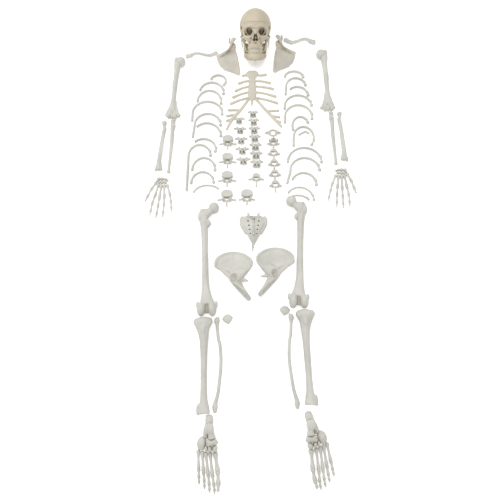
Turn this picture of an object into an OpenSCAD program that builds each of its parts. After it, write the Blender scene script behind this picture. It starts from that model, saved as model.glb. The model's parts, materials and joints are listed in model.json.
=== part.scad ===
// Life-size teaching skeleton, taken apart and laid out on a flat surface.
// +X runs to the viewer's right, +Y towards the head end and +Z up from the surface.
// The origin is on the surface, at the middle of the laid-out set.

/* [Skull] */
// Width of the braincase
skull_w = 142; // [120:1:165]
// Length of the braincase, from the brow to the back of the head
skull_l = 176; // [150:1:200]
// Height of the crown above the ear holes
crown_h = 113; // [100:1:130]
// Thickness of the braincase wall
skull_wall = 6; // [4:0.5:8]
// Height of the saw cut above the ear holes
cut_h = 52; // [46:1:60]
// Width of the saw cut
cut_gap = 0.6; // [0.4:0.1:2]
// Diameter of the steel pins that locate the skull cap
pin_d = 2.4; // [1.5:0.1:3]
// Length of those pins
pin_l = 12; // [8:1:16]
// Radial clearance of a pin in the skull cap
pin_clearance = 0.4; // [0.3:0.05:0.6]
// How far the skull leans from lying on its back
skull_lean = 40; // [30:1:45]

/* [Jaw] */
// Distance between the middles of the two jaw joints
jaw_w = 98; // [90:1:108]
// Diameter of a jaw joint's head
condyle_d = 12; // [9:0.5:14]
// Clearance between a jaw joint's head and its socket
jaw_clearance = 2.5; // [1.5:0.5:5]
// Gap between the upper and the lower teeth
bite_gap = 1; // [0.5:0.5:3]
// Outside diameter of the jaw springs
spring_d = 4; // [3:0.5:5]

/* [Spine] */
// Pitch of the neck vertebrae along their row
neck_pitch = 50; // [46:1:60]
// Pitch of the chest vertebrae along their rows
chest_pitch = 41; // [39:1:50]
// Pitch of the loin vertebrae along their row
loin_pitch = 87; // [85:1:100]
// Lean of the chest vertebrae, each propped on the next
chest_lean = 80; // [70:1:85]
// Length of the sacrum without the tailbone
sacrum_l = 106; // [90:1:115]

/* [Chest] */
// Length of the breastbone
sternum_l = 188; // [160:1:195]
// Thickness of the breastbone
sternum_t = 12; // [9:1:16]
// Width of a rib seen from above
rib_t = 10.5; // [6:0.5:12]
// Height of a rib lying on its edge
rib_h = 13; // [10:1:16]

/* [Shoulder] */
// Length of a collar bone
clavicle_l = 140; // [115:1:150]
// Height of a shoulder blade
scapula_h = 160; // [135:1:165]

/* [Arm] */
// Length of an upper arm bone
humerus_l = 325; // [270:1:390]
// Thickness of its shaft
humerus_t = 22; // [18:1:26]
// Length of a radius
radius_l = 238; // [200:1:285]
// Length of an ulna
ulna_l = 258; // [215:1:310]
// Length of a hand, from the wrist to the tip of the middle finger
hand_l = 186; // [155:1:200]

/* [Hip] */
// Width of a hip bone across its crest
hip_w = 150; // [125:1:155]
// Height of a hip bone
hip_h = 192; // [160:1:200]

/* [Leg] */
// Length of a thigh bone
femur_l = 460; // [380:1:555]
// Thickness of its shaft
femur_t = 28; // [23:1:33]
// Diameter of its head
femur_head = 47; // [40:1:54]
// Width of a kneecap
patella_w = 43; // [36:1:50]
// Length of a shin bone
tibia_l = 322; // [280:1:400]
// Length of a calf bone
fibula_l = 336; // [300:1:425]
// Length of a foot
foot_l = 250; // [210:1:270]

/* [Layout] */
// Gap between the bones of a limb along its length
limb_gap = 14; // [8:1:30]

/* [Hidden] */
$fn = 16;
sides = ["right", "left"];
function two(k) = k < 10 ? str("0", k) : str(k);

// Colours
bone = [0.82, 0.82, 0.78];
skull_tan = [0.80, 0.76, 0.67];
cartilage = [0.80, 0.78, 0.72];
steel = [0.72, 0.73, 0.75];

// Points and paths
function unit(v) = v / norm(v);
function mid(a, b) = (a + b) / 2;
function flip(p) = [-p[0], p[1], p[2]];

// The direction of a path of sections at section i
function heading(s, i) =
    let (a = s[max(i - 1, 0)], b = s[min(i + 1, len(s) - 1)])
    unit([b[0] - a[0], b[1] - a[1], b[2] - a[2]]);

// One ring of n points round a section [x, y, z, width, height]
function ring(c, t, up, n, grow = 1, push = 0) =
    let (side = unit(cross(t, up)), top = cross(side, t))
    [for (j = [0:n - 1]) let (a = 360 * (j + 0.5) / n)
        [c[0], c[1], c[2]] + t * push
        + side * cos(a) * c[3] / 2 * grow + top * sin(a) * c[4] / 2 * grow];

// A closed rod through sections [x, y, z, width, height], with rounded or blunt ends
module strand(s, n = 8, up = [0, 0, 1], blunt = false) {
    last = len(s) - 1;
    nose = 0.3;
    first_r = min(s[0][3], s[0][4]) * nose;
    last_r = min(s[last][3], s[last][4]) * nose;
    rings = concat(
        blunt ? [] : [ring(s[0], heading(s, 0), up, n, 0.55, -first_r)],
        [for (i = [0:last]) ring(s[i], heading(s, i), up, n)],
        blunt ? [] : [ring(s[last], heading(s, last), up, n, 0.55, last_r)]
    );
    m = len(rings);
    polyhedron(
        points = [for (r = rings) for (p = r) p],
        faces = concat(
            [[for (j = [n - 1:-1:0]) j]],
            [for (i = [0:m - 2]) for (j = [0:n - 1])
                let (k = (j + 1) % n)
                [i * n + j, i * n + k, (i + 1) * n + k, (i + 1) * n + j]],
            [[for (j = [0:n - 1]) (m - 1) * n + j]]
        ),
        convexity = 4
    );
}

// A round knob of the given size [x, y, z] at a place
module knob(at, size, n = 10) {
    translate(at)
        scale(size)
            sphere(d = 1, $fn = n);
}

// Children made for the right side, mirrored for the left side
module sided(i) {
    if (i == 1) {
        mirror([1, 0, 0]) children();
    } else {
        children();
    }
}

// Children set down on the surface at a place [x, y, turn], lowered until they touch it
module lay(place, down = 0) {
    translate([place[0], place[1], -down])
        rotate([0, 0, place[2]])
            children();
}

// ---- Places on the surface, each [x, y, turn] for the right side, then for the left side
skull_place = [20, 873];
sternum_place = [6, 739];
clavicle_places = [[-297, 825, 2], [298, 903, 2]];
scapula_places = [[-88, 897, 0], [133, 913, 3]];
arm_tops = [[-331, 799, -4], [333, 840, 3]];
hip_places = [[-63, -131, 0], [90, -114, 0]];
leg_tops = [[-183, 78, 0], [197, 108, 0]];
neck_place = [99, 417];
chest_places = [[-49, 459], [13, 490]];
loin_place = [-99, 379];
sacrum_place = [10, 25];

// Where the bones of a limb start, one after the other down the limb
function arm_y(i, down) = arm_tops[i][1] - down;
forearm_down = humerus_l + limb_gap - 10;
hand_down = forearm_down + max(radius_l, ulna_l) + limb_gap - 10;
shin_down = femur_l + limb_gap + 10;
foot_down = shin_down + max(tibia_l, fibula_l);
knee_x = [-175, 199];
elbow_x = [-365, 361];

// ==== Skull: modelled upright with its ear holes at the origin, +Y up and +Z forwards ====
base_h = -4;
vault_h = crown_h - base_h + 24;
vault_mid = crown_h - vault_h / 2;
face_z = skull_l / 2;
joint_at = [jaw_w / 2, base_h - jaw_clearance - condyle_d / 2 - 1, 8];
tooth_line = -51;
arch_x = jaw_w / 2 + 17;
skull_rise = 64;
socket_roof = 38;
socket_back = 28;

module skull_pose() {
    translate([skull_place[0], skull_place[1], skull_rise])
        rotate([skull_lean, 0, 0])
            children();
}

// The egg of the braincase, grown outwards or shrunk, in level rings
module vault(grow = 0) {
    strand([for (a = [-84:21:84])
        [0, vault_mid + (vault_h / 2 + grow) * sin(a), 2,
            (skull_w + 2 * grow) * cos(a), (skull_l + 2 * grow) * cos(a)]],
        16, blunt = true);
}

// Everything above or below the saw cut
module above_cut(h) {
    translate([-200, h, -200])
        cube([400, 300, 400]);
}

// Middle of the wall at the saw cut, seen from above
cut_round = sqrt(1 - pow((cut_h - vault_mid) / (vault_h / 2), 2));
pin_x = skull_w / 2 * cut_round - skull_wall / 2;
pin_z = 2 - skull_l / 2 * cut_round + skull_wall / 2;
pin_places = [[pin_x, 2], [-pin_x, 2], [0, pin_z]];

module pins(grow = 0) {
    for (p = pin_places)
        translate([p[0], cut_h - pin_l / 2, p[1]])
            rotate([-90, 0, 0])
                cylinder(d = pin_d + 2 * grow, h = pin_l, $fn = 16);
}

// Both sides of a strand or a knob pair
module pair() {
    children();
    mirror([1, 0, 0]) children();
}

module cheek() {
    brow_x = 0.32 * skull_w;
    hull() {
        knob([brow_x, 32, 68], [16, 14, 16], 8);
        knob([14, 36, face_z - 6], [18, 19, 17], 8);
        knob([brow_x - 1, 50, 50], [13, 15, 14], 8);
    }
    strand([[brow_x + 3, 34, 63, 11, 12], [brow_x + 4, 14, 60, 8, 10], [brow_x + 3, -4, 62, 11, 13]], 8, [0, 0, 1]);
    hull() {
        knob([brow_x + 3, -6, 62], [11, 18, 12], 8);
        knob([28, -22, 74], [15, 17, 13], 8);
        knob([24, -4, 78], [12, 8, 10], 8);
    }
    strand([[brow_x + 4, -6, 60, 6, 11], [arch_x - 1, -4, 42, 5, 8],
        [arch_x, -1, 22, 5, 8], [0.39 * skull_w, 5, 1, 9, 10]], 8, [0, 1, 0]);
    strand([[0.37 * skull_w, 9, -16, 21, 25], [0.37 * skull_w, -12, -21, 18, 20],
        [0.355 * skull_w, -24, -22, 10, 11]], 9, [0, 0, 1]);
}

module upper_jaw() {
    hull() {
        knob([0, 26, face_z - 3], [20, 16, 12], 8);
        knob([23, -34, 58], [20, 17, 16], 8);
        knob([-23, -34, 58], [20, 17, 16], 8);
        knob([13, -33, 81], [17, 16, 13], 8);
        knob([-13, -33, 81], [17, 16, 13], 8);
        knob([0, 0, 40], [34, 30, 30], 8);
    }
    strand([for (a = [-81:27:81]) let (r = 28)
        [r * sin(a), tooth_line + 6, 60 + (r + 4) * cos(a), 8, 12]], 7, [0, 1, 0], true);
}

module skull_base() {
    hull() {
        knob([0, -2, -38], [86, 41, 78], 10);
        knob([0, 1, 19], [70, 17, 50], 10);
    }
}

// The hollow for the brain: its floor steps up over the eye sockets
module brain_space() {
    intersection() {
        vault(-skull_wall);
        union() {
            above_cut(socket_roof);
            translate([0, 0, socket_back - 200])
                above_cut(base_h + skull_wall);
        }
    }
}

module eye_socket() {
    hull() {
        knob([31, 16, face_z + 8], [40, 34, 20], 10);
        knob([18, 12, 48], [14, 14, 14], 8);
    }
}

module nose_opening() {
    hull() {
        knob([0, 4, face_z + 6], [9, 10, 30], 6);
        knob([8, -19, face_z + 2], [10, 10, 34], 8);
        knob([-8, -19, face_z + 2], [10, 10, 34], 8);
    }
}

module whole_skull() {
    difference() {
        union() {
            intersection() {
                vault();
                above_cut(base_h);
            }
            skull_base();
            pair() cheek();
            upper_jaw();
        }
        brain_space();
        pair() eye_socket();
        nose_opening();
        translate([0, -60, -38])
            rotate([-90, 0, 0])
                cylinder(d = 32, h = 100);
    }
}

module cranium() {
    color(skull_tan)
        skull_pose()
            difference() {
                whole_skull();
                above_cut(cut_h - cut_gap / 2);
                pins();
            }
}

module calvarium() {
    color(skull_tan)
        skull_pose()
            difference() {
                vault();
                vault(-skull_wall);
                translate([0, -300, 0])
                    above_cut(cut_h + cut_gap / 2);
                pins(pin_clearance);
            }
}

module calvarium_pins() {
    color(steel)
        skull_pose()
            pins();
}

// ---- Lower jaw, hinged on a line through both jaw joints
module mandible() {
    gum = tooth_line - bite_gap - 6;
    angle_y = gum - 22;
    color(skull_tan)
        skull_pose() {
            strand(concat(
                [[-joint_at[0] + 3, angle_y + 6, 16, 9, 26]],
                [for (a = [-72:24:72]) let (r = 34)
                    [r * sin(a), angle_y - 4 * cos(a), 46 + (r + 7) * cos(a), 12, 28]],
                [[joint_at[0] - 3, angle_y + 6, 16, 9, 26]]), 8, [0, 1, 0]);
            strand([for (a = [-81:27:81]) let (r = 27)
                [r * sin(a), gum - 6, 58 + (r + 5) * cos(a), 8, 24]], 6, [0, 1, 0], true);
            pair() {
                strand([[joint_at[0] - 3, angle_y + 2, 18, 9, 34], [joint_at[0] - 1, -40, 19, 8, 32],
                    [joint_at[0], joint_at[1] - 14, 14, 8, 17], [joint_at[0], joint_at[1] - 3, 8, 9, 9]]);
                strand([[joint_at[0] - 2, -44, 30, 7, 16], [joint_at[0] - 1, -26, 34, 5, 12],
                    [joint_at[0] - 1, -16, 34, 4, 7]]);
                knob(joint_at, [condyle_d + 6, condyle_d, condyle_d], 10);
            }
        }
}

// Two tension springs that hold the jaw shut, as plain rods of their outside diameter
module jaw_springs() {
    top = [arch_x - 3.5, -7, 28];
    low = [joint_at[0] + 8, -46, 22];
    color(steel)
        skull_pose()
            pair()
                strand([[top[0], top[1], top[2], spring_d, spring_d],
                    [low[0], low[1], low[2], spring_d, spring_d]]);
}

// ==== Chest ====
rib_angles = 8;

// Each rib: its arch's middle x and y, half width, half height, the angle of its head end,
// the angle where the arch stops, and the place [x, y] where its straight stretch ends
right_ribs = [
    [-147, 682, 35, 31, -40, 165, undef],
    [-177, 619, 54, 55, -5, 168, undef],
    [-186, 570, 53, 60, -6, 178, undef],
    [-193, 512, 65, 60, -4, 180, [-259, 471]],
    [-190, 452, 57, 57, 0, 180, [-252, 389]],
    [-193, 396, 62, 66, 2, 133, undef],
    [-204, 334, 54, 50, -12, 135, undef],
    [-220, 302, 47, 52, 2, 180, [-268, 137]],
    [-200, 236, 48, 55, -2, 184, undef],
    [-203, 173, 47, 52, 5, 184, undef],
    [-182, 120, 58, 44, 44, 166, undef],
    [231, 397, 22, 25, 40, 80, [208, 404]]
];
left_ribs = [
    [196, 701, 42, 33, 6, 178, undef],
    [203, 650, 45, 48, 12, 180, [155, 607]],
    [209, 599, 48, 52, 8, 132, undef],
    [210, 547, 60, 58, 6, 180, [149, 532]],
    [210, 494, 60, 60, -10, 180, [149, 462]],
    [217, 446, 36, 48, 25, 180, [183, 424]],
    [230, 390, 45, 54, -40, 180, [183, 346]],
    [228, 270, 72, 70, 2, 180, undef],
    [228, 229, 62, 62, 5, 180, [151, 170]],
    [221, 166, 52, 55, 0, 155, undef],
    [201, 98, 57, 57, 2, 146, undef],
    [193, 61, 60, 58, 45, 112, undef]
];

// The path of a rib: an arch, and then a straight stretch
function rib_path(r) = concat(
    [for (i = [0:rib_angles]) let (a = r[4] + (r[5] - r[4]) * i / rib_angles)
        [r[0] + r[2] * cos(a), r[1] + r[3] * sin(a)]],
    is_undef(r[6]) ? [] : [r[6]]
);

module rib(r, slim) {
    path = rib_path(r);
    last = len(path) - 1;
    head = path[0];
    z = rib_h * slim * 0.58;
    color(bone) {
        strand([for (i = [0:last])
            let (f = i / last, w = f < 0.12 ? 0.8 : 1, tip = f > 0.9 ? 1.15 : 1)
            [path[i][0], path[i][1], z, rib_t * w * slim, rib_h * slim * tip]],
            6, blunt = true);
        knob([head[0], head[1], z - 1], [rib_t * 1.5, rib_t * 1.4, rib_h * slim], 6);
    }
}

module sternum() {
    z = sternum_t / 2;
    color(cartilage)
        lay([sternum_place[0], sternum_place[1], 0]) {
            strand([[0, -4, z, 46, sternum_t], [0, -16, z, 62, sternum_t], [0, -34, z, 44, sternum_t],
                [0, -48, z, 28, sternum_t * 0.9]], 10);
            strand([[0, -44, z, 32, sternum_t * 0.9], [0, -0.45 * sternum_l, z, 36, sternum_t * 0.85],
                [0, -0.68 * sternum_l, z, 41, sternum_t * 0.85],
                [0, -0.8 * sternum_l, z, 26, sternum_t * 0.8]], 10);
            strand([[0, -0.8 * sternum_l, z, 14, sternum_t * 0.5],
                [-3, -sternum_l + 2, z, 9, sternum_t * 0.45]], 8);
        }
}

// Ends of the rib cartilages beside the breastbone, from the top one down
cartilage_ends = [
    [[-46, -29], [-63, -70], [-78, -110], [-89, -144], [-99, -178], [-108, -209], [-114, -240], [-115, -265]],
    [[65, -20], [85, -67], [98, -99], [108, -139], [115, -174], [119, -212], [122, -245], [126, -271]]
];
// The joined lower cartilages on each side, from the breastbone outwards
cartilage_arms = [
    [[-22, -160], [-52, -209], [-86, -252], [-113, -309]],
    [[22, -160], [64, -214], [103, -262], [128, -294]]
];

module costal_cartilages() {
    z = sternum_t / 2;
    color(cartilage)
        lay([sternum_place[0], sternum_place[1], 0])
            for (i = [0:1]) {
                s = i == 0 ? -1 : 1;
                ends = cartilage_ends[i];
                arm = cartilage_arms[i];
                for (k = [0:4]) {
                    from = [s * (k == 0 ? 35 : 22 + k), -24 - k * sternum_l * 0.16];
                    bend = mid(from, ends[k]);
                    strand([[from[0], from[1], z, 10, 8], [bend[0], min(from[1], bend[1] + 3), z, 12, 9],
                        [ends[k][0], ends[k][1], z, 12, 8]], 6, blunt = true);
                }
                strand([for (k = [0:3]) [arm[k][0], arm[k][1], z, k % 3 == 0 ? 10 : 13, 9]], 6);
                for (k = [5:7]) {
                    root = arm[1] + (arm[2] - arm[1]) * (k - 5) / 2;
                    strand([[root[0], root[1], z, 9, 8], [ends[k][0], ends[k][1], z, 12, 8]], 6, blunt = true);
                }
            }
}

// ==== Shoulders ====
module clavicle(i) {
    l = clavicle_l;
    z = 7;
    color(bone)
        translate([clavicle_places[i][0], clavicle_places[i][1], 0])
            sided(i)
                rotate([0, 0, clavicle_places[i][2]])
                    strand([[0, -8, z + 1, 22, 16], [0.1 * l, -4, z + 1, 18, 16], [0.28 * l, 8, z, 12, 12],
                        [0.5 * l, 4, z, 12, 12], [0.72 * l, -4, z, 14, 11], [0.88 * l, 2, z, 18, 10],
                        [l, 10, z, 20, 9]]);
}

// Shoulder blade: its socket end at the origin, the tip of the blade below it
module scapula(i) {
    h = scapula_h;
    tip = [34, -h - 24];
    corner = [-68, -76];
    neck = [-4, -34];
    color(bone)
        lay(scapula_places[i])
            sided(i) {
                hull() {
                    knob([neck[0] + 10, neck[1] - 6, 8], [16, 16, 8], 8);
                    knob([corner[0], corner[1], 5], [10, 10, 6], 8);
                    knob([tip[0] - 4, tip[1] + 10, 5], [16, 20, 6], 8);
                }
                hull() {
                    knob([corner[0] + 2, corner[1] - 4, 5], [12, 12, 6], 8);
                    knob([corner[0] + 10, -0.7 * h, 5], [12, 12, 6], 8);
                    knob([corner[0] + 38, tip[1] + 34, 5], [12, 12, 6], 8);
                    knob([tip[0] - 6, tip[1] + 14, 5], [14, 14, 6], 8);
                    knob([0, -70, 8], [12, 12, 8], 8);
                }
                strand([[neck[0] + 12, neck[1] - 4, 12, 14, 12], [20, -0.45 * h, 9, 10, 10],
                    [tip[0], tip[1] + 12, 6, 14, 9]]);
                hull() {
                    knob([6, -30, 14], [30, 34, 20], 10);
                    knob([-2, -46, 12], [24, 20, 14], 8);
                }
                strand([[-46, -84, 12, 8, 12], [-18, -60, 20, 9, 18], [-4, -38, 29, 11, 14],
                    [4, -12, 33, 22, 9], [14, 2, 32, 20, 8]]);
                strand([[2, -26, 16, 13, 12], [-12, -8, 22, 10, 10], [-10, 8, 24, 10, 9]]);
            }
}

// ==== Spine ====
// A vertebra with its lower face on the surface, the middle of its body at the origin and
// its spine towards -Y: body width, depth and height, canal, span of the side processes,
// length of the spine, how far that spine drops, and the height of the arch
module vertebra(bw, bd, bh, canal, span, tail, drop, arch) {
    z = arch;
    back = -bd / 2;
    rear = back - canal * 0.68;
    pillar = [canal / 2 + 4, mid(back, rear)];
    strand([[0, 0, 0, bw, bd], [0, 0, bh * 0.5, bw * 0.88, bd * 0.9], [0, 0, bh, bw, bd]],
        8, [0, 1, 0], true);
    pair() {
        strand([[min(canal, bw * 0.72) / 2 + 1, back + 5, z, 9, 9], [pillar[0], pillar[1], z, 9, 14],
            [canal / 4, rear, z - 1, 6, 13], [-1, rear - 3, z - 2, 5, 12]], 6, blunt = true);
        strand([[pillar[0] - 2, pillar[1] - 1, z, 9, 8], [span / 2, pillar[1] - 5, z + 1, 8, 7]],
            6, blunt = true);
    }
    strand([[0, rear, z - 2, 6, 12], [0, rear - tail * 0.6, z - drop * 0.6, 5, 10],
        [0, rear - tail, z - drop, 7, 8]], 6, blunt = true);
}

// The first two neck vertebrae
module atlas() {
    strand([for (a = [-90:36:270]) [17 * cos(a), 14 * sin(a) - 4, 8, 8, 11]], 6, blunt = true);
    pair()
        strand([[14, -2, 9, 16, 14], [28, -3, 8, 11, 8], [33, -6, 8, 8, 7]], 6);
}

module axis_bone() {
    vertebra(26, 15, 20, 22, 54, 14, 0, 11);
    strand([[0, 1, 18, 11, 10], [0, 1, 30, 9, 8]], 8, [0, 1, 0]);
}

module cervical_vertebrae() {
    color(bone) {
        translate([neck_place[0] - 3, neck_place[1], 0])
            atlas();
        translate([neck_place[0] - 2, neck_place[1] - neck_pitch + 8, 0])
            axis_bone();
        for (k = [2:5])
            translate([neck_place[0] + (k - 3) * 1.5, neck_place[1] - k * neck_pitch + 10, 0])
                vertebra(25, 15, 13, 23, 54, neck_pitch - (k == 5 ? 26 : 36), 1, 9);
        translate([neck_place[0] - 76, neck_place[1] - 4 * neck_pitch - 11, 0])
            vertebra(30, 18, 16, 20, 68, 28, 3, 12);
    }
}

// A chest vertebra propped on its front lower edge, with its spine over the next one
module leaning_vertebra(bw, bd, bh, span, tail) {
    z = bh * 0.72;
    translate([0, 0, 0.2])
        rotate([-chest_lean, 0, 0])
            translate([0, -bd / 2, 0])
                vertebra(bw, bd, bh, 16, span, tail, tail * 0.8, z);
}

module thoracic_vertebrae_1_5() {
    color(bone)
        for (k = [0:4])
            translate([chest_places[0][0] + 5 * k, chest_places[0][1] - (chest_pitch + 9) * k, 0])
                leaning_vertebra(28 + k, 20 + k, 19, 56 - k, chest_pitch - 11);
}

module thoracic_vertebrae_6_12() {
    color(bone)
        for (k = [0:6])
            translate([chest_places[1][0] + 2.5 * k, chest_places[1][1] - chest_pitch * k, 0])
                leaning_vertebra(30 + k, 24, 21, 52 - k, chest_pitch - 15);
}

module lumbar_vertebrae() {
    color(bone) {
        for (k = [0:3])
            translate([loin_place[0], loin_place[1] - loin_pitch * k, 0])
                vertebra(46 + k, 33, 26, 20, 75 + k, loin_pitch - 63, 0, 16);
        translate([loin_place[0] + 82, loin_place[1] - loin_pitch * 3 + 2, 0])
            vertebra(50, 34, 27, 22, 68, 20, 0, 16);
    }
}

// Sacrum and tailbone, lying on its hollow front
module sacrum() {
    l = sacrum_l;
    color(bone)
        lay([sacrum_place[0], sacrum_place[1], 0]) {
            strand([[0, -12, 17, 104, 22], [0, -0.3 * l, 26, 98, 20], [0, -0.55 * l, 28, 74, 18],
                [0, -0.8 * l, 23, 50, 15], [0, -l, 14, 26, 11]], 12);
            strand([[0, -l - 2, 13, 20, 9], [-2, -l - 20, 8, 13, 8], [-4, -l - 38, 5, 9, 7]]);
            strand([[0, -0.16 * l, 36, 8, 14], [0, -0.5 * l, 38, 7, 12], [0, -0.78 * l, 30, 6, 10]], 6);
            pair() {
                strand([[47, -14, 14, 16, 24], [50, -0.35 * l, 18, 14, 22], [38, -0.55 * l, 20, 14, 18]]);
                strand([[19, -14, 30, 12, 14], [21, 2, 31, 12, 14]]);
            }
        }
}

// ==== Hip ====
// Hip bone lying on its outer side: the crest at the top, the seat bone at the bottom
module hip_bone(i) {
    w = hip_w;
    h = hip_h;
    crest = [[-0.5 * w, -0.3 * h], [-0.46 * w, -0.15 * h], [-0.26 * w, -0.035 * h], [0, 0],
        [0.24 * w, -0.05 * h], [0.42 * w, -0.17 * h], [0.44 * w, -0.28 * h]];
    color(bone)
        lay(hip_places[i], 4)
            sided(i) {
                strand([for (k = [0:len(crest) - 1])
                    [crest[k][0], crest[k][1], 20 + 16 * abs(k - 3) / 3, 10, 13]], 6);
                for (k = [0:len(crest) - 2])
                    hull() {
                        knob([crest[k][0], crest[k][1], 20 + 16 * abs(k - 3) / 3], [8, 8, 8], 6);
                        knob([crest[k + 1][0], crest[k + 1][1], 20 + 16 * abs(k - 2) / 3], [8, 8, 8], 6);
                        knob([0.05 * w, -0.42 * h, 20], [30, 24, 22], 8);
                    }
                difference() {
                    hull() {
                        knob([0.02 * w, -0.52 * h, 25], [56, 54, 34], 8);
                        knob([0.12 * w, -0.42 * h, 26], [40, 34, 30], 6);
                        knob([0.30 * w, -0.40 * h, 30], [18, 20, 22], 8);
                    }
                    knob([-0.04 * w, -0.54 * h, 50], [40, 40, 44], 10);
                }
                hull() {
                    knob([0.04 * w, -0.62 * h, 22], [40, 34, 28], 8);
                    knob([0.25 * w, -0.84 * h, 16], [24, 24, 26], 8);
                }
                hull() {
                    knob([0.25 * w, -0.84 * h, 18], [22, 26, 30], 8);
                    knob([0.37 * w, -0.95 * h, 22], [20, 20, 34], 8);
                }
                strand([[0.14 * w, -0.56 * h, 24, 20, 14], [0.36 * w, -0.60 * h, 26, 7, 7]], 6, blunt = true);
                strand([[-0.02 * w, -0.62 * h, 36, 22, 20], [0.12 * w, -0.72 * h, 52, 15, 14],
                    [0.24 * w, -0.80 * h, 60, 12, 18]]);
                strand([[0.22 * w, -0.79 * h, 62, 14, 18], [0.34 * w, -0.92 * h, 50, 10, 14],
                    [0.38 * w, -0.96 * h, 30, 14, 16]]);
            }
}

// ==== Arms ====
// Upper arm bone: its top at y = 0, running towards -Y
module humerus(i) {
    l = humerus_l;
    t = humerus_t;
    color(bone)
        lay(arm_tops[i], 3)
            sided(i) {
                knob([11, -23, 24], [46, 46, 42], 10);
                strand([[-9, -12, 22, 22, 26], [-7, -0.1 * l, 20, 36, 34], [-4, -0.2 * l, 17, t + 4, t + 4],
                    [-3, -0.5 * l, 15, t, t], [-2, -0.75 * l, 14, t, t - 2], [0, -0.87 * l, 13, 36, t - 4],
                    [2, -0.935 * l, 12, 58, 17]], 10);
                strand([[30, -0.95 * l + 2, 14, 22, 22], [14, -0.95 * l - 2, 15, 18, 20],
                    [4, -0.95 * l - 1, 15, 22, 22], [-14, -0.95 * l, 15, 21, 21]]);
            }
}

// Radius, on the thumb's side: its round head at y = 0
module radius(i) {
    l = radius_l;
    color(bone)
        lay([elbow_x[i] + (i == 0 ? -12 : 28), arm_y(i, forearm_down + (i == 0 ? 8 : 2)), i == 0 ? -3 : 2])
            sided(i) {
                strand([[0, -3, 13, 22, 22], [0, -12, 13, 21, 21], [0, -22, 12, 13, 13],
                    [4, -36, 12, 17, 16], [0, -0.35 * l, 11, 15, 15], [-4, -0.6 * l, 11, 16, 14],
                    [-1, -0.85 * l, 11, 22, 16], [1, -0.96 * l, 11, 33, 20]]);
                strand([[-12, -0.94 * l, 10, 10, 10], [-14, -l + 3, 9, 7, 7]], 6);
            }
}

// Ulna: its hooked elbow end at y = 0
module ulna(i) {
    l = ulna_l;
    color(bone)
        lay([elbow_x[i] + (i == 0 ? 28 : -10), arm_y(i, forearm_down - (i == 0 ? 6 : 4)), i == 0 ? -2 : 2])
            sided(i) {
                strand([[-1, -8, 15, 24, 22], [0, -20, 11, 22, 14], [0, -34, 14, 27, 22],
                    [0, -52, 13, 20, 20], [2, -0.4 * l, 11, 15, 16], [1, -0.7 * l, 10, 13, 13],
                    [0, -0.93 * l, 9, 12, 12], [0, -0.98 * l, 9, 18, 16]]);
                strand([[6, -0.97 * l, 9, 7, 7], [7, -l + 2, 8, 4, 4]], 6);
            }
}

// A short bone of a finger, toe, palm or instep between two points, waisted at the middle
module digit(a, b, w, h, z) {
    m = mid(a, b);
    strand([[a[0], a[1], z, w, h], [m[0], m[1], z, w * 0.62, h * 0.66], [b[0], b[1], z, w * 0.86, h * 0.86]],
        6, blunt = true);
}

// A chain of bones along a route of points, with a gap at every joint
module finger(route, w, gap, z) {
    for (k = [0:len(route) - 2]) {
        along = unit(route[k + 1] - route[k]);
        digit(route[k] + along * gap, route[k + 1] - along * gap, w - 1.4 * k, w * 0.84 - k, z);
    }
}

// Hand, palm down: the wrist at y = 0 and the fingers towards -Y, as shares of its length
hand_routes = [
    [[0.11, -0.17], [0.20, -0.41], [0.24, -0.58], [0.27, -0.72], [0.29, -0.82]],
    [[0.045, -0.18], [0.08, -0.47], [0.095, -0.66], [0.105, -0.85], [0.108, -0.97]],
    [[-0.02, -0.18], [-0.025, -0.50], [-0.03, -0.70], [-0.035, -0.89], [-0.04, -1.0]],
    [[-0.085, -0.17], [-0.13, -0.46], [-0.165, -0.65], [-0.175, -0.83], [-0.18, -0.94]],
    [[-0.145, -0.128], [-0.23, -0.30], [-0.29, -0.48], [-0.33, -0.62]]
];
wrist_bones = [
    [-0.10, -0.04, 0.085], [-0.02, -0.035, 0.08], [0.055, -0.04, 0.07], [0.105, -0.065, 0.05],
    [-0.125, -0.092, 0.058], [-0.075, -0.125, 0.06], [-0.01, -0.12, 0.075], [0.065, -0.12, 0.07]
];

module hand(i) {
    l = hand_l;
    z = 7;
    x = arm_tops[i][0] + (i == 0 ? -36 : 46);
    color(bone)
        lay([x, arm_y(i, hand_down + (i == 0 ? 6 : 4)), i == 0 ? -4 : -2], 1.5)
            sided(i) {
                for (c = wrist_bones)
                    knob([c[0] * l, c[1] * l, z + 1], [c[2] * l * 0.84, c[2] * l * 0.78, 13], 6);
                for (k = [0:4])
                    finger(hand_routes[k] * l, k == 4 ? 13 : 12, 1.2, z);
            }
}

// ==== Legs ====
// Thigh bone: its head's top at y = 0
module femur(i) {
    l = femur_l;
    t = femur_t;
    color(bone)
        lay(leg_tops[i], 2)
            sided(i) {
                knob([34, -femur_head / 2, 28], [femur_head, femur_head, femur_head], 10);
                strand([[30, -24, 27, 32, 32], [16, -38, 26, 30, 30], [-4, -56, 24, 40, 32]]);
                strand([[-16, -36, 24, 24, 30], [-12, -66, 22, 40, 34], [-6, -0.2 * l, 20, t + 6, t + 4],
                    [0, -0.45 * l, 20, t, t], [6, -0.7 * l, 19, t + 2, t], [12, -0.84 * l, 20, 46, t + 4],
                    [16, -0.92 * l, 22, 74, 38]], 10);
                knob([-4, -0.945 * l, 24], [40, 52, 46], 10);
                knob([37, -0.945 * l, 24], [38, 52, 46], 10);
            }
}

module patella(i) {
    w = patella_w;
    x = [-88, 128];
    color(bone)
        lay([x[i], leg_tops[i][1] - femur_l - (i == 0 ? 8 : 6), i == 0 ? 12 : -8])
            strand([[0, w * 0.3, 9, w * 0.62, 14], [0, w * 0.12, 10, w * 0.94, 18],
                [0, -w * 0.1, 10, w * 0.9, 18], [0, -w * 0.34, 9, w * 0.42, 13]], 10);
}

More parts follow.
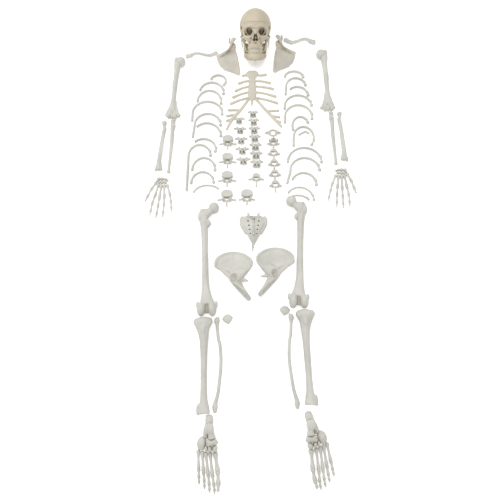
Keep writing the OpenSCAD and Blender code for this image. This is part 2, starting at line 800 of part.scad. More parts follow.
// Shin bone: its flat top at y = 0
module tibia(i) {
    l = tibia_l;
    color(bone)
        lay([knee_x[i] - (i == 0 ? 5 : -4), leg_tops[i][1] - shin_down + 12, i == 0 ? 3 : 1])
            sided(1 - i) {
                strand([[0, -3, 25, 70, 44], [0, -16, 25, 76, 48], [0, -34, 23, 58, 40],
                    [-2, -0.2 * l, 20, 36, 34], [0, -0.42 * l, 18, 26, 28], [2, -0.7 * l, 16, 24, 25],
                    [3, -0.88 * l, 16, 32, 28], [4, -0.97 * l, 17, 48, 34]], 10);
                strand([[20, -0.92 * l, 16, 16, 20], [24, -l - 6, 14, 12, 16]], 6);
                knob([-2, -34, 42], [18, 36, 16], 8);
            }
}

// Calf bone: its head at y = 0
module fibula(i) {
    l = fibula_l;
    color(bone)
        lay([knee_x[i] + (i == 0 ? 47 : -48), leg_tops[i][1] - shin_down + (i == 0 ? 22 : 5), i == 0 ? 0 : 1.5])
            rotate([0, 0, i == 0 ? 0 : 1])
                mirror([1 - i, 0, 0])
                    strand([[0, -3, 11, 16, 16], [0, -14, 11, 23, 20], [-1, -32, 10, 13, 13],
                        [-13, -0.3 * l, 9, 13, 13], [-18, -0.5 * l, 9, 13, 13], [-11, -0.76 * l, 9, 13, 13],
                        [0, -0.93 * l, 10, 20, 16], [0, -0.99 * l, 9, 14, 13]]);
}

// Foot, sole down: the top of the ankle at y = 0 and the toes towards -Y, as shares of its length
foot_routes = [
    [[0.085, -0.485], [0.125, -0.72], [0.135, -0.86], [0.13, -0.97]],
    [[0.01, -0.48], [0.05, -0.77], [0.07, -0.89], [0.078, -0.95], [0.082, -1.0]],
    [[-0.05, -0.48], [-0.01, -0.76], [0.005, -0.88], [0.01, -0.94], [0.012, -0.985]],
    [[-0.10, -0.47], [-0.075, -0.73], [-0.065, -0.84], [-0.06, -0.895], [-0.058, -0.94]],
    [[-0.155, -0.455], [-0.145, -0.69], [-0.14, -0.79], [-0.137, -0.84], [-0.135, -0.88]]
];

module foot(i) {
    l = foot_l;
    color(bone)
        lay([i == 0 ? -147 : 200, leg_tops[i][1] - foot_down + (i == 0 ? 17 : -2), i == 0 ? 1 : 13], 3)
            sided(i) {
                strand([[0, -0.03 * l, 14, 26, 24], [0, -0.12 * l, 17, 30, 30], [-6, -0.22 * l, 16, 34, 28],
                    [-12, -0.27 * l, 14, 24, 20]]);
                strand([[4, -0.13 * l, 44, 34, 16], [6, -0.2 * l, 44, 34, 18], [12, -0.28 * l, 38, 24, 18]]);
                knob([-0.108 * l, -0.362 * l, 14], [26, 38, 22], 8);
                knob([0.05 * l, -0.343 * l, 27], [40, 18, 26], 8);
                knob([0.083 * l, -0.43 * l, 22], [19, 23, 22], 8);
                knob([0.015 * l, -0.43 * l, 22], [13.5, 22, 20], 6);
                knob([-0.036 * l, -0.43 * l, 20], [11, 21, 19], 6);
                for (k = [0:4])
                    finger(foot_routes[k] * l, k == 0 ? 20 : 14, 1.2, k == 0 ? 13 : 9);
            }
}

cranium();
calvarium();
calvarium_pins();
mandible();
jaw_springs();
sternum();
costal_cartilages();
cervical_vertebrae();
thoracic_vertebrae_1_5();
thoracic_vertebrae_6_12();
lumbar_vertebrae();
sacrum();
for (k = [1:12]) {
    slim = k > 10 ? 0.8 : 1;
    rib(right_ribs[k - 1], slim);
    rib(left_ribs[k - 1], slim);
}
for (i = [0:1]) {
    clavicle(i);
    scapula(i);
    hip_bone(i);
    humerus(i);
    radius(i);
    ulna(i);
    hand(i);
    femur(i);
    patella(i);
    tibia(i);
    fibula(i);
    foot(i);
}
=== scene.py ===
# Teaching skeleton, taken apart and laid out on a pale floor
import json
from math import cos, pi, radians, sin

import bmesh
import bpy
from mathutils import Euler, Matrix, Vector


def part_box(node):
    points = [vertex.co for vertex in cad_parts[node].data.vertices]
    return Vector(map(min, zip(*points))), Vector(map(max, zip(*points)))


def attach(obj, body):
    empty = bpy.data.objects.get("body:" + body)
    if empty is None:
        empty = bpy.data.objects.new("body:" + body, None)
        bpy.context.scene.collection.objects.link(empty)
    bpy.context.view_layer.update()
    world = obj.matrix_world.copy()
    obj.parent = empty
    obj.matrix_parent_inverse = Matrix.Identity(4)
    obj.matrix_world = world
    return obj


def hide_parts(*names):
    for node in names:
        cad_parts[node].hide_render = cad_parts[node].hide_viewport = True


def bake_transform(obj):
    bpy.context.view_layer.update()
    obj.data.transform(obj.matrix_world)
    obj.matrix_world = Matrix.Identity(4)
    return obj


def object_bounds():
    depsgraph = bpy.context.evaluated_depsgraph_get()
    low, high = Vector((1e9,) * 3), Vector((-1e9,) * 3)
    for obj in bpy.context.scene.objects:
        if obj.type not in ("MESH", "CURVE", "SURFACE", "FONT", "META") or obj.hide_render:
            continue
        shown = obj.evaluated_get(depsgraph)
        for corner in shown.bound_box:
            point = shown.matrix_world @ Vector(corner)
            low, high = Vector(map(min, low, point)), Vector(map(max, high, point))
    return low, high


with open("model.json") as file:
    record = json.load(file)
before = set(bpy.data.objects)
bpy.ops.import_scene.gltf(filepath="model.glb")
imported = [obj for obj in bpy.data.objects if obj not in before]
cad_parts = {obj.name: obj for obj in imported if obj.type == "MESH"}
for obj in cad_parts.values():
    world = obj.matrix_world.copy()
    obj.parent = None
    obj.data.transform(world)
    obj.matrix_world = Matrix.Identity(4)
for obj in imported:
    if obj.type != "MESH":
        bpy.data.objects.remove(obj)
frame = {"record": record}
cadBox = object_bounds()
record = frame["record"]
bodyOf = {node: body for body, nodes in record["behaviour"]["bodies"].items() for node in nodes}
slotOf = {part["node"]: part["material_slot"] for part in record["subparts"]}
coarse = 1
toMetres = Matrix.Scale(0.001, 4)  # bones are shaped in millimetres


# Shader sockets that take +, * and a number minus a socket
class Socket:
    def __init__(self, paint, out):
        self.paint, self.out = paint, out

    def maths(self, operation, a, b):
        return self.paint.node("ShaderNodeMath", {"operation": operation}, [a, b])

    def __add__(self, other):
        return self.maths("ADD", self, other)

    def __rsub__(self, other):
        return self.maths("SUBTRACT", other, self)

    def __mul__(self, other):
        return self.maths("MULTIPLY", self, other)

    __radd__ = __add__
    __rmul__ = __mul__


class Paint:
    def __init__(self, name):
        self.material = bpy.data.materials.new(name)
        self.material.use_nodes = True
        self.tree = self.material.node_tree
        self.tree.nodes.clear()

    def node(self, kind, settings=None, inputs=(), out=0):
        made = self.tree.nodes.new(kind)
        for key, value in (settings or {}).items():
            if key == "stops":  # place and colour of each stop of a ramp
                stops = made.color_ramp.elements
                while len(stops) < len(value):
                    stops.new(1)
                for stop, (place, colour) in zip(stops, value):
                    stop.position, stop.color = place, colour
            else:
                setattr(made, key, value)
        pairs = inputs.items() if isinstance(inputs, dict) else enumerate(inputs)
        for key, value in pairs:
            if isinstance(value, Socket):
                self.tree.links.new(value.out, made.inputs[key])
            else:
                made.inputs[key].default_value = value
        return Socket(self, made.outputs[out]) if made.outputs else None

    def noise(self, where, scale, detail=3, roughness=0.5):
        return self.node("ShaderNodeTexNoise", {"noise_dimensions": "3D"},
                         {"Vector": where, "Scale": scale, "Detail": detail, "Roughness": roughness})

    def spread(self, value, low, high):  # stretches low..high to 0..1
        return self.node("ShaderNodeMapRange", {"clamp": True}, {0: value, 1: low, 2: high})

    def blend(self, share, a, b):
        return self.node("ShaderNodeMix", {"data_type": "RGBA"}, {0: share, 6: a, 7: b}, out=2)

    def stretched(self, scale):
        where = self.node("ShaderNodeTexCoord", out="Object")
        return self.node("ShaderNodeMapping", {"vector_type": "POINT"}, {"Vector": where, "Scale": scale})

    def finish(self, inputs):
        surface = self.node("ShaderNodeBsdfPrincipled", {}, inputs)
        self.node("ShaderNodeOutputMaterial", {}, {"Surface": surface})
        return self.material


def tint(r, g, b):
    return (r, g, b, 1)


# Bone finishes, with painted shade darkening their hollows
# pale, grey and warm are the bone's own tones; the darkest colour of each look is painted shade for its
# hollows, and the number after warmth sets how strong it is
boneLooks = {
    "bone": {"pale": tint(0.60, 0.595, 0.545), "grey": tint(0.47, 0.47, 0.44),
             "stain": tint(0.30, 0.225, 0.14),
             "warm": tint(0.60, 0.53, 0.41), "warmth": 0.35, "painted_shade_strength": 1.15, "pores": 0.00016},
    "skull_bone": {"pale": tint(0.56, 0.50, 0.385), "grey": tint(0.46, 0.41, 0.315),
                   "stain": tint(0.14, 0.085, 0.045),
                   "warm": tint(0.55, 0.44, 0.29), "warmth": 0.5, "painted_shade_strength": 1.15, "pores": 0.00014},
    "flat_bone": {"pale": tint(0.57, 0.545, 0.475), "grey": tint(0.46, 0.445, 0.40),
                  "stain": tint(0.33, 0.24, 0.15),
                  "warm": tint(0.56, 0.48, 0.36), "warmth": 0.6, "painted_shade_strength": 1.05, "pores": 0.00016},
    "cartilage": {"pale": tint(0.61, 0.57, 0.48), "grey": tint(0.52, 0.49, 0.42),
                  "stain": tint(0.34, 0.25, 0.16),
                  "warm": tint(0.55, 0.46, 0.34), "warmth": 0.6, "painted_shade_strength": 0.9, "pores": 0.00012},
}


def boneFinish(name, look):
    paint = Paint(name)
    where = paint.node("ShaderNodeTexCoord", out="Object")
    along = paint.stretched((1, 0.22, 1))
    cloud = paint.spread(paint.noise(where, 16, 3), 0.38, 0.64)
    streak = paint.spread(paint.noise(along, 240, 4, 0.6), 0.42, 0.70)
    blotch = paint.spread(paint.noise(where, 55, 5, 0.62), 0.50, 0.72)
    speck = paint.spread(paint.noise(where, 620, 3, 0.7), 0.56, 0.74)
    # painted shade: ambient occlusion finds the creases and hollows, and the colour is darkened there
    hollow = paint.node("ShaderNodeAmbientOcclusion", {"only_local": True, "samples": 6},
                        {"Distance": 0.016}, out="AO")
    depth = paint.spread(1 - hollow, 0.16, 0.85)
    edge = paint.spread(paint.node("ShaderNodeNewGeometry", out="Pointiness"), 0.50, 0.58)
    colour = paint.blend(cloud * 0.6, look["pale"], look["grey"])
    colour = paint.blend(blotch * look["warmth"], colour, look["warm"])
    colour = paint.blend(streak * 0.22, colour, look["grey"])
    colour = paint.blend(speck * 0.25, colour, look["warm"])
    # painted shade: the colour goes towards the dark brown where the hollows are deepest
    colour = paint.blend(paint.spread(depth * look["painted_shade_strength"] + blotch * 0.12 * depth, 0, 1), colour,
                         look["stain"])
    colour = paint.blend(edge * 0.35, colour, look["pale"])
    pores = paint.node("ShaderNodeTexVoronoi", {"feature": "F1"},
                       {"Vector": where, "Scale": 900, "Randomness": 1})
    grain = paint.noise(along, 420, 4, 0.6)
    height = grain * 0.5 + paint.spread(pores, 0, 0.45) * 0.35 + paint.noise(where, 130, 3) * 0.8
    bump = paint.node("ShaderNodeBump", {}, {"Strength": 0.55, "Distance": look["pores"] * 4,
                                             "Height": height})
    return paint.finish({"Base Color": colour, "Roughness": 0.5 + blotch * 0.12 + depth * 0.2,
                         "Specular IOR Level": 0.32, "Normal": bump})


def toothFinish():
    paint = Paint("tooth")
    where = paint.node("ShaderNodeTexCoord", out="Object")
    veil = paint.spread(paint.noise(where, 180, 3), 0.4, 0.7)
    # painted shade: ambient occlusion darkens the teeth towards dark brown in the gaps between them and next
    # to the jaw
    hollow = paint.node("ShaderNodeAmbientOcclusion", {"only_local": False, "samples": 6},
                        {"Distance": 0.006}, out="AO")
    colour = paint.blend(veil * 0.5, tint(0.68, 0.62, 0.50), tint(0.58, 0.50, 0.37))
    colour = paint.blend(paint.spread(1 - hollow, 0.35, 0.95), colour, tint(0.20, 0.13, 0.07))
    bump = paint.node("ShaderNodeBump", {}, {"Strength": 0.3, "Distance": 0.0003,
                                             "Height": paint.noise(where, 700, 2)})
    return paint.finish({"Base Color": colour, "Roughness": 0.32 + veil * 0.1, "Specular IOR Level": 0.45,
                         "Normal": bump})


def steelFinish():
    paint = Paint("steel")
    along = paint.stretched((1, 0.05, 1))
    brushed = paint.noise(along, 1500, 4, 0.6)
    colour = paint.blend(brushed, tint(0.58, 0.58, 0.58), tint(0.42, 0.42, 0.43))
    bump = paint.node("ShaderNodeBump", {}, {"Strength": 0.2, "Distance": 0.0001, "Height": brushed})
    return paint.finish({"Base Color": colour, "Metallic": 1.0, "Roughness": 0.28 + brushed * 0.15,
                         "Normal": bump})


finishes = {slot: boneFinish(slot, look) for slot, look in boneLooks.items()}
finishes["tooth"], finishes["steel"] = toothFinish(), steelFinish()
print("finishes made")


# Shaping tools
def smoothPath(points, steps):  # a smooth curve through every section
    out, last = [], len(points) - 1
    for i in range(last):
        a, b, c, d = (points[max(0, min(last, k))] for k in (i - 1, i, i + 1, i + 2))
        for s in range(steps):
            t = s / steps
            out.append([0.5 * (2 * q + (r - p) * t + (2 * p - 5 * q + 4 * r - u) * t * t
                               + (3 * q - p - 3 * r + u) * t ** 3)
                        for p, q, r, u in zip(a, b, c, d)])
    return out + [list(points[last])]


def ringPlace(at, ahead, up, width, height):
    side = ahead.cross(up).normalized()
    top = side.cross(ahead)
    place = Matrix((side * width, top * height, ahead)).transposed().to_4x4()
    place.translation = at
    return place


# A closed rod through sections [x, y, z, width, height], with round or blunt ends
def rod(bm, sections, up=(0, 0, 1), sides=16, steps=4, blunt=False, nose=0.3):
    path = smoothPath(sections, steps)
    up, last = Vector(up), len(path) - 1
    rings = []
    for i, (x, y, z, w, h) in enumerate(path):
        ahead = (Vector(path[min(i + 1, last)][:3]) - Vector(path[max(i - 1, 0)][:3])).normalized()
        rings.append((Vector((x, y, z)), ahead, max(w, 0.3), max(h, 0.3)))
    places = [ringPlace(at, ahead, up, w, h) for at, ahead, w, h in rings]
    if not blunt:
        for end, way in ((0, -1), (-1, 1)):
            at, ahead, w, h = rings[end]
            caps = [ringPlace(at + ahead * way * min(w, h) * nose * sin(radians(a)), ahead, up,
                              w * cos(radians(a)) ** 0.8, h * cos(radians(a)) ** 0.8) for a in (30, 55, 76)]
            places = caps[::-1] + places if end == 0 else places + caps
    made = bmesh.ops.create_circle(bm, cap_ends=True, segments=sides, radius=0.5, matrix=places[0])
    verts = made["verts"]
    edges = list(dict.fromkeys(e for v in verts for e in v.link_edges))
    for before, after in zip(places, places[1:]):
        made = bmesh.ops.extrude_edge_only(bm, edges=edges)
        verts = [g for g in made["geom"] if isinstance(g, bmesh.types.BMVert)]
        ring = set(verts)
        edges = [g for g in made["geom"] if isinstance(g, bmesh.types.BMEdge) and set(g.verts) <= ring]
        bmesh.ops.transform(bm, matrix=after @ before.inverted(), verts=verts)
    bmesh.ops.edgeloop_fill(bm, edges=edges)


def knob(bm, at, size, turn=(0, 0, 0), fine=3):
    turned = Euler([radians(a) for a in turn]).to_matrix().to_4x4()
    place = Matrix.Translation(at) @ turned @ Matrix.Diagonal((*size, 1))
    bmesh.ops.create_icosphere(bm, subdivisions=fine, radius=0.5, matrix=place)


def addMesh(bm, mesh):
    bm.from_mesh(mesh)
    bpy.data.meshes.remove(mesh)


# The skin stretched over a few knobs
def web(bm, *knobs):
    part = bmesh.new()
    for at, size in knobs:
        knob(part, at, size)
    bmesh.ops.delete(part, geom=part.edges[:], context="EDGES_FACES")
    made = bmesh.ops.convex_hull(part, input=part.verts[:])
    spare = {g for g in made["geom_interior"] + made["geom_unused"] if isinstance(g, bmesh.types.BMVert)}
    bmesh.ops.delete(part, geom=list(spare), context="VERTS")
    mesh = bpy.data.meshes.new("web")
    part.to_mesh(mesh)
    part.free()
    addMesh(bm, mesh)


def flipped(shape):  # the same recipe on the other side of x = 0
    def other(bm):
        part = bmesh.new()
        shape(part)
        bmesh.ops.transform(part, matrix=Matrix.Diagonal((-1, 1, 1, 1)), verts=part.verts)
        bmesh.ops.reverse_faces(part, faces=part.faces)
        mesh = bpy.data.meshes.new("other")
        part.to_mesh(mesh)
        part.free()
        addMesh(bm, mesh)
    return other


def bothSides(bm, shape):
    shape(bm)
    flipped(shape)(bm)


lumps = bpy.data.textures.new("lumps", "CLOUDS")
lumps.noise_scale, lumps.noise_depth = 16, 2


def solidOf(shape, name="solid"):
    bm = bmesh.new()
    shape(bm)
    bmesh.ops.recalc_face_normals(bm, faces=bm.faces)
    mesh = bpy.data.meshes.new(name)
    bm.to_mesh(mesh)
    bm.free()
    solid = bpy.data.objects.new(name, mesh)
    bpy.context.scene.collection.objects.link(solid)
    return solid


def applied(solid, steps):  # the mesh after a list of modifiers
    for kind, settings in steps:
        step = solid.modifiers.new(kind, kind)
        for key, value in settings.items():
            setattr(step, key, value)
    mesh = bpy.data.meshes.new_from_object(solid.evaluated_get(bpy.context.evaluated_depsgraph_get()))
    bpy.data.objects.remove(solid)
    return mesh


# Grows a bone from its solids, carves it, and wears it smooth
def boneMesh(grow, carve=None, voxel=1.8, smooth=5, lump=0.9, late=None, crisp=None):
    voxel = voxel * coarse
    fuse = ("REMESH", {"mode": "VOXEL", "voxel_size": voxel})
    tools = []
    steps = [fuse]
    if carve:
        cutter = solidOf(lambda bm: addMesh(bm, applied(solidOf(carve), [fuse])))
        steps += [("BOOLEAN", {"operation": "DIFFERENCE", "solver": "MANIFOLD", "object": cutter})]
        tools.append(cutter)
    mesh = applied(solidOf(grow), steps)
    solid = bpy.data.objects.new("bone", mesh)
    if late:
        joined = solidOf(lambda bm: (bm.from_mesh(mesh), late(bm)))
        bpy.data.objects.remove(solid)
        solid = joined
    else:
        bpy.context.scene.collection.objects.link(solid)
    steps = [fuse, ("SMOOTH", {"factor": 0.5, "iterations": max(1, round(smooth / coarse))})]
    if lump:
        steps.append(("DISPLACE", {"texture": lumps, "strength": lump, "mid_level": 0.5,
                                   "texture_coords": "LOCAL"}))
    if crisp:  # sawn faces are cut last, so that their edges stay sharp
        saw = solidOf(crisp)
        steps.append(("BOOLEAN", {"operation": "DIFFERENCE", "solver": "MANIFOLD", "object": saw}))
        tools.append(saw)
    mesh = applied(solid, steps)
    for tool in tools:
        bpy.data.objects.remove(tool)
    return mesh


def extent(mesh):
    xs, ys, zs = zip(*(v.co for v in mesh.vertices))
    return Vector((min(xs), min(ys), min(zs))), Vector((max(xs), max(ys), max(zs)))


# Where a bone shaped for the right side lies: mirrored, turned, and brought to its solid's box
def layingOut(mesh, node, turn=0, mirrored=False):
    aimed = Matrix.Rotation(radians(turn), 4, "Z") @ Matrix.Diagonal((-1 if mirrored else 1, 1, 1, 1))
    trial = mesh.copy()
    trial.transform(aimed)
    low, high = extent(trial)
    bpy.data.meshes.remove(trial)
    boxLow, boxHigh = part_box(node)
    grown = [(boxHigh[k] - boxLow[k]) / (high[k] - low[k]) for k in range(3)]
    return Matrix.Translation(boxLow) @ Matrix.Diagonal((*grown, 1)) @ Matrix.Translation(-low) @ aimed


def camel(node):  # a one-word name gets an ending, as the CAD solid already has that name
    first, *rest = node.split("_")
    return first + ("".join(word.title() for word in rest) or "Bone")


def putOut(mesh, name, body, finish, place=None, nodes=()):
    if place is not None:
        mesh.transform(place)
        if place.determinant() < 0:
            mesh.flip_normals()
    mesh.shade_smooth()
    mesh.materials.clear()
    mesh.materials.append(finishes[finish])
    piece = bpy.data.objects.new(name, mesh)
    bpy.context.scene.collection.objects.link(piece)
    if nodes:
        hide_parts(*nodes)
    if body:
        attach(piece, body)
    return piece


# A bone takes the place of its CAD node
def putBone(node, mesh, turn=0, mirrored=False, place=None):
    place = place or layingOut(mesh, node, turn, mirrored)
    putOut(mesh, camel(node), bodyOf[node], slotOf[node], place, [node])
    return place


def putPair(bone, mesh, turns, leftMirrored=True):
    other = mesh.copy()
    putBone(bone + "_right", mesh, turns[0], not leftMirrored)
    putBone(bone + "_left", other, turns[1], leftMirrored)


# Thigh bone: head up at y = 0, inner side towards +x, back of the bone upwards
femurSizes = {"length": 460, "shaft": 28, "head": 47, "turns": (0, 0)}


def growFemur(bm):
    l, t, head = femurSizes["length"], femurSizes["shaft"], femurSizes["head"]
    knob(bm, (34, -head / 2, 28), (head, head, head))
    rod(bm, [[28, -28, 27, 31, 31], [14, -42, 26, 27, 30], [-6, -58, 24, 34, 34]])
    knob(bm, (-23, -56, 23), (26, 50, 34), (0, 0, -6))
    knob(bm, (-17, -38, 27), (22, 26, 26), (0, 0, -20))
    knob(bm, (2, -42, 25), (36, 36, 30))
    rod(bm, [[-16, -34, 38, 11, 9], [-4, -60, 36, 10, 9], [9, -84, 31, 11, 11]])
    knob(bm, (14, -90, 27), (19, 27, 22))
    rod(bm, [[-10, -56, 22, 36, 34], [-8, -84, 21, 37, 32], [-5, -120, 20, 32, 30], [-1, -190, 20, t, t],
             [3, -270, 20, t, t], [7, -340, 19, 33, t], [11, -380, 19, 45, 30], [15, -408, 20, 62, 34]])
    rod(bm, [[-6, -112, 34, 7, 6], [-1, -190, 34, 5, 6], [3, -270, 33.5, 5, 6], [-2, -340, 31, 6, 6]],
        sides=8)
    rod(bm, [[3, -270, 33.5, 4, 5], [14, -340, 31, 5, 6], [28, -390, 30, 6, 7]], sides=8)
    knob(bm, (-7, -l + 28, 25), (37, 56, 46), (0, 0, -5))
    knob(bm, (38, -l + 30, 25), (36, 60, 46), (0, 0, 5))
    knob(bm, (15, -l + 34, 15), (62, 44, 26))
    knob(bm, (-24, -l + 44, 23), (13, 26, 22))
    knob(bm, (54, -l + 46, 23), (14, 28, 24))


def carveFemur(bm):
    l = femurSizes["length"]
    web(bm, ((16, -l + 2, 38), (15, 22, 40)), ((16, -l + 14, 42), (12, 18, 22)))
    knob(bm, (14, -l + 66, 52), (44, 56, 34))
    knob(bm, (54, -16, 40), (9, 9, 9))
    knob(bm, (-9, -42, 46), (11, 16, 16))


putPair("femur", boneMesh(growFemur, carveFemur, 2.0), femurSizes["turns"])
print("thigh bones laid out")

# Shin bone: front of the bone upwards
tibiaSizes = {"length": 322, "turns": (3, 1)}


def growTibia(bm):
    l = tibiaSizes["length"]
    rod(bm, [[0, -4, 25, 68, 43], [0, -13, 25, 76, 48], [0, -22, 24, 70, 46], [0, -36, 23, 53, 40],
             [-1, -52, 22, 43, 36], [-2, -75, 20, 35, 32], [-1, -110, 18, 29, 29], [0, -150, 17, 26, 27],
             [2, -230, 16, 24, 24], [3, -275, 16, 27, 25], [3, -296, 16, 35, 28],
             [4, -322, 17, 47, 33]], nose=0.16)
    knob(bm, (-5, -2, 26), (8, 15, 13))
    knob(bm, (6, -2, 27), (8, 16, 13))
    knob(bm, (-2, -38, 40), (19, 40, 17))
    rod(bm, [[-2, -50, 37, 12, 10], [-5, -110, 31, 9, 9], [-2, -180, 28, 8, 8], [5, -250, 25, 8, 8],
             [12, -296, 24, 9, 8]])
    knob(bm, (-25, -18, 36), (20, 18, 15))
    rod(bm, [[20, -298, 17, 17, 24], [24, -l + 8, 15, 15, 20], [25, -l - 4, 14, 11, 15]])


def carveTibia(bm):
    l = tibiaSizes["length"]
    knob(bm, (-20, 8, 24), (27, 16, 36))
    knob(bm, (20, 8, 24), (27, 16, 36))
    knob(bm, (2, -l - 7, 17), (30, 17, 30))
    knob(bm, (-27, -l + 16, 18), (13, 30, 13))


putPair("tibia", boneMesh(growTibia, carveTibia, 1.9), tibiaSizes["turns"], False)

fibulaSizes = {"length": 336, "shaft": 12.5, "turns": (0, 2.5)}


def growFibula(bm):
    l, t = fibulaSizes["length"], fibulaSizes["shaft"]
    rod(bm, [[0, -4, 11, 15, 14], [0, -14, 11, 22, 19], [-1, -24, 10, 16, 15], [-2, -38, 10, 12, 12],
             [-7, -80, 9, t, t], [-13, -0.3 * l, 9, t, t], [-18, -0.5 * l, 9, t, t],
             [-11, -0.76 * l, 9, t, t], [-6, -0.84 * l, 9, 13, 12], [-1, -0.9 * l, 9, 16, 13],
             [0, -0.94 * l, 10, 20, 16],
             [0, -0.985 * l, 9, 13, 12]])
    knob(bm, (-5, -4, 12), (9, 13, 11))
    rod(bm, [[-5, -60, 15, 4, 4], [-14, -120, 15, 4, 4], [-16, -200, 14, 4, 4]], sides=8)


def carveFibula(bm):
    knob(bm, (8, -0.95 * fibulaSizes["length"], 16), (10, 22, 12))


putPair("fibula", boneMesh(growFibula, carveFibula, 1.6, 4, 0.7), fibulaSizes["turns"], False)

patellaSizes = {"width": 43, "turns": (12, -8)}


def growPatella(bm):
    w = patellaSizes["width"]
    rod(bm, [[0, w * 0.34, 9, w * 0.5, 12], [0, w * 0.22, 9, w * 0.82, 16], [0, w * 0.06, 10, w * 0.98, 19],
             [0, -w * 0.12, 10, w * 0.86, 18], [0, -w * 0.3, 9, w * 0.5, 13], [0, -w * 0.4, 8, w * 0.26, 9]])


def carvePatella(bm):  # the two facets that glide on the thigh bone
    knob(bm, (-11, 5, 26), (24, 26, 18), (0, -14, 0))
    knob(bm, (12, 5, 26), (22, 26, 18), (0, 14, 0))


putPair("patella", boneMesh(growPatella, carvePatella, 1.2, 5, 0.8), patellaSizes["turns"])
print("shin bones and kneecaps laid out")

# Upper arm bone
humerusSizes = {"length": 325, "shaft": 22, "turns": (-4, 3)}


def growHumerus(bm):
    l, t = humerusSizes["length"], humerusSizes["shaft"]
    knob(bm, (11, -23, 24), (46, 46, 42))
    knob(bm, (-10, -17, 23), (25, 32, 32), (0, 0, 10))
    knob(bm, (3, -27, 38), (15, 24, 12))
    rod(bm, [[-3, -24, 21, 38, 35], [-5, -44, 20, 33, 31], [-4, -66, 17, 27, 26],
             [-4, -105, 16, t + 2, t + 1], [-3, -165, 15, t, t], [-2, -220, 14, t, t - 2],
             [-1, -258, 13, 27, 19], [0, -282, 13, 38, 17],
             [2, -298, 12, 54, 16]])
    knob(bm, (-10, -140, 17), (14, 62, 15))
    rod(bm, [[9, -225, 13, 7, 10], [18, -262, 12, 8, 11], [28, -292, 13, 12, 14]])
    rod(bm, [[-10, -228, 13, 6, 9], [-16, -264, 12, 8, 10], [-23, -292, 13, 11, 12]])
    knob(bm, (32, -0.93 * l, 13), (20, 18, 18))
    knob(bm, (-25, -0.935 * l, 13), (13, 17, 15))
    knob(bm, (21, -l + 14, 15), (9, 25, 25))
    knob(bm, (13, -l + 14, 15), (12, 20, 20))
    knob(bm, (4, -l + 13, 15), (10, 23, 23))
    knob(bm, (-12, -l + 14, 16), (21, 23, 23))


def carveHumerus(bm):
    l = humerusSizes["length"]
    rod(bm, [[-3, 2, 42, 7, 9], [-4, -24, 41, 7, 10], [-5, -50, 37, 6, 9], [-5, -76, 31, 5, 5]], sides=8)
    web(bm, ((3, -l + 38, 27), (27, 24, 20)), ((4, -l + 35, 20), (17, 14, 12)))
    knob(bm, (-14, -l + 38, 25), (14, 12, 10))
    knob(bm, (-4, -l + 8, 30), (4, 26, 14))


putPair("humerus", boneMesh(growHumerus, carveHumerus, 1.8), humerusSizes["turns"])

radiusSizes = {"length": 238, "shaft": 17, "turns": (-3, 2)}


def growRadius(bm):
    l, t = radiusSizes["length"], radiusSizes["shaft"]
    rod(bm, [[0, -2, 13, 20, 20], [0, -8, 13, 22.5, 22.5], [0, -13, 13, 20, 20], [0, -20, 12, 13, 13],
             [2, -30, 12, 14, 14], [4, -38, 12, 16, 16], [2, -54, 12, t, 14], [0, -0.35 * l, 11, t, 14],
             [-3, -0.6 * l, 11, 16, 13], [-3, -0.76 * l, 11, 18, 14], [-1, -0.86 * l, 11, 24, 17],
             [1, -0.96 * l, 11, 33, 20]], nose=0.12)
    knob(bm, (7, -38, 14), (12, 24, 14))
    rod(bm, [[-12, -0.92 * l, 10, 11, 12], [-14, -l + 3, 9, 7, 8]])
    rod(bm, [[2, -0.86 * l, 19, 4, 4], [2, -0.96 * l, 20, 6, 5]], sides=8)
    rod(bm, [[7, -70, 15, 4, 5], [7, -130, 15, 4, 5], [6, -180, 14, 4, 5]], sides=8)


def carveRadius(bm):
    l = radiusSizes["length"]
    knob(bm, (0, 2, 13), (16, 8, 16))
    knob(bm, (3, -l + 1, 11), (24, 10, 16))
    rod(bm, [[-5, -0.87 * l, 21, 4, 5], [-6, -l + 2, 21, 5, 6]], sides=8)
    rod(bm, [[9, -0.88 * l, 20, 4, 5], [10, -l + 2, 20, 6, 6]], sides=8)


putPair("radius", boneMesh(growRadius, carveRadius, 1.5, 4, 0.7), radiusSizes["turns"])

ulnaSizes = {"length": 258, "turns": (-2, 2)}


def growUlna(bm):
    l = ulnaSizes["length"]
    rod(bm, [[-1, -6, 15, 21, 20], [0, -13, 14, 24, 20], [0, -22, 12, 21, 16], [0, -34, 13, 26, 21],
             [0, -44, 13, 23, 20], [0, -60, 12, 18, 18], [2, -0.4 * l, 11, 17, 17],
             [2, -0.55 * l, 11, 16, 15], [1, -0.7 * l, 10, 15, 14], [0, -0.86 * l, 9, 13, 13],
             [0, -0.93 * l, 9, 14, 13], [0, -0.975 * l, 9, 18, 16]])
    knob(bm, (5, -7, 22), (18, 16, 15))
    knob(bm, (7, -36, 22), (20, 13, 14))
    rod(bm, [[6, -0.97 * l, 9, 7, 7], [7, -l + 2, 8, 4, 4]])
    rod(bm, [[-6, -56, 16, 5, 6], [-5, -130, 15, 4, 5], [-4, -190, 14, 4, 4]], sides=8)


def carveUlna(bm):
    web(bm, ((-10, -22, 29), (10, 20, 20)), ((16, -22, 29), (10, 20, 20)))
    knob(bm, (-13, -40, 15), (8, 16, 15))


putPair("ulna", boneMesh(growUlna, carveUlna, 1.5, 4, 0.7), ulnaSizes["turns"])
print("arm bones laid out")


# Hands and feet: one mesh a set, each small bone closed in itself
def joined(meshes):
    bm = bmesh.new()
    for mesh in meshes:
        addMesh(bm, mesh)
    whole = bpy.data.meshes.new("set")
    bm.to_mesh(whole)
    bm.free()
    return whole


def smallBone(shape, voxel=1.0, smooth=3, carve=None):
    return boneMesh(shape, carve, voxel, smooth, 0.35)


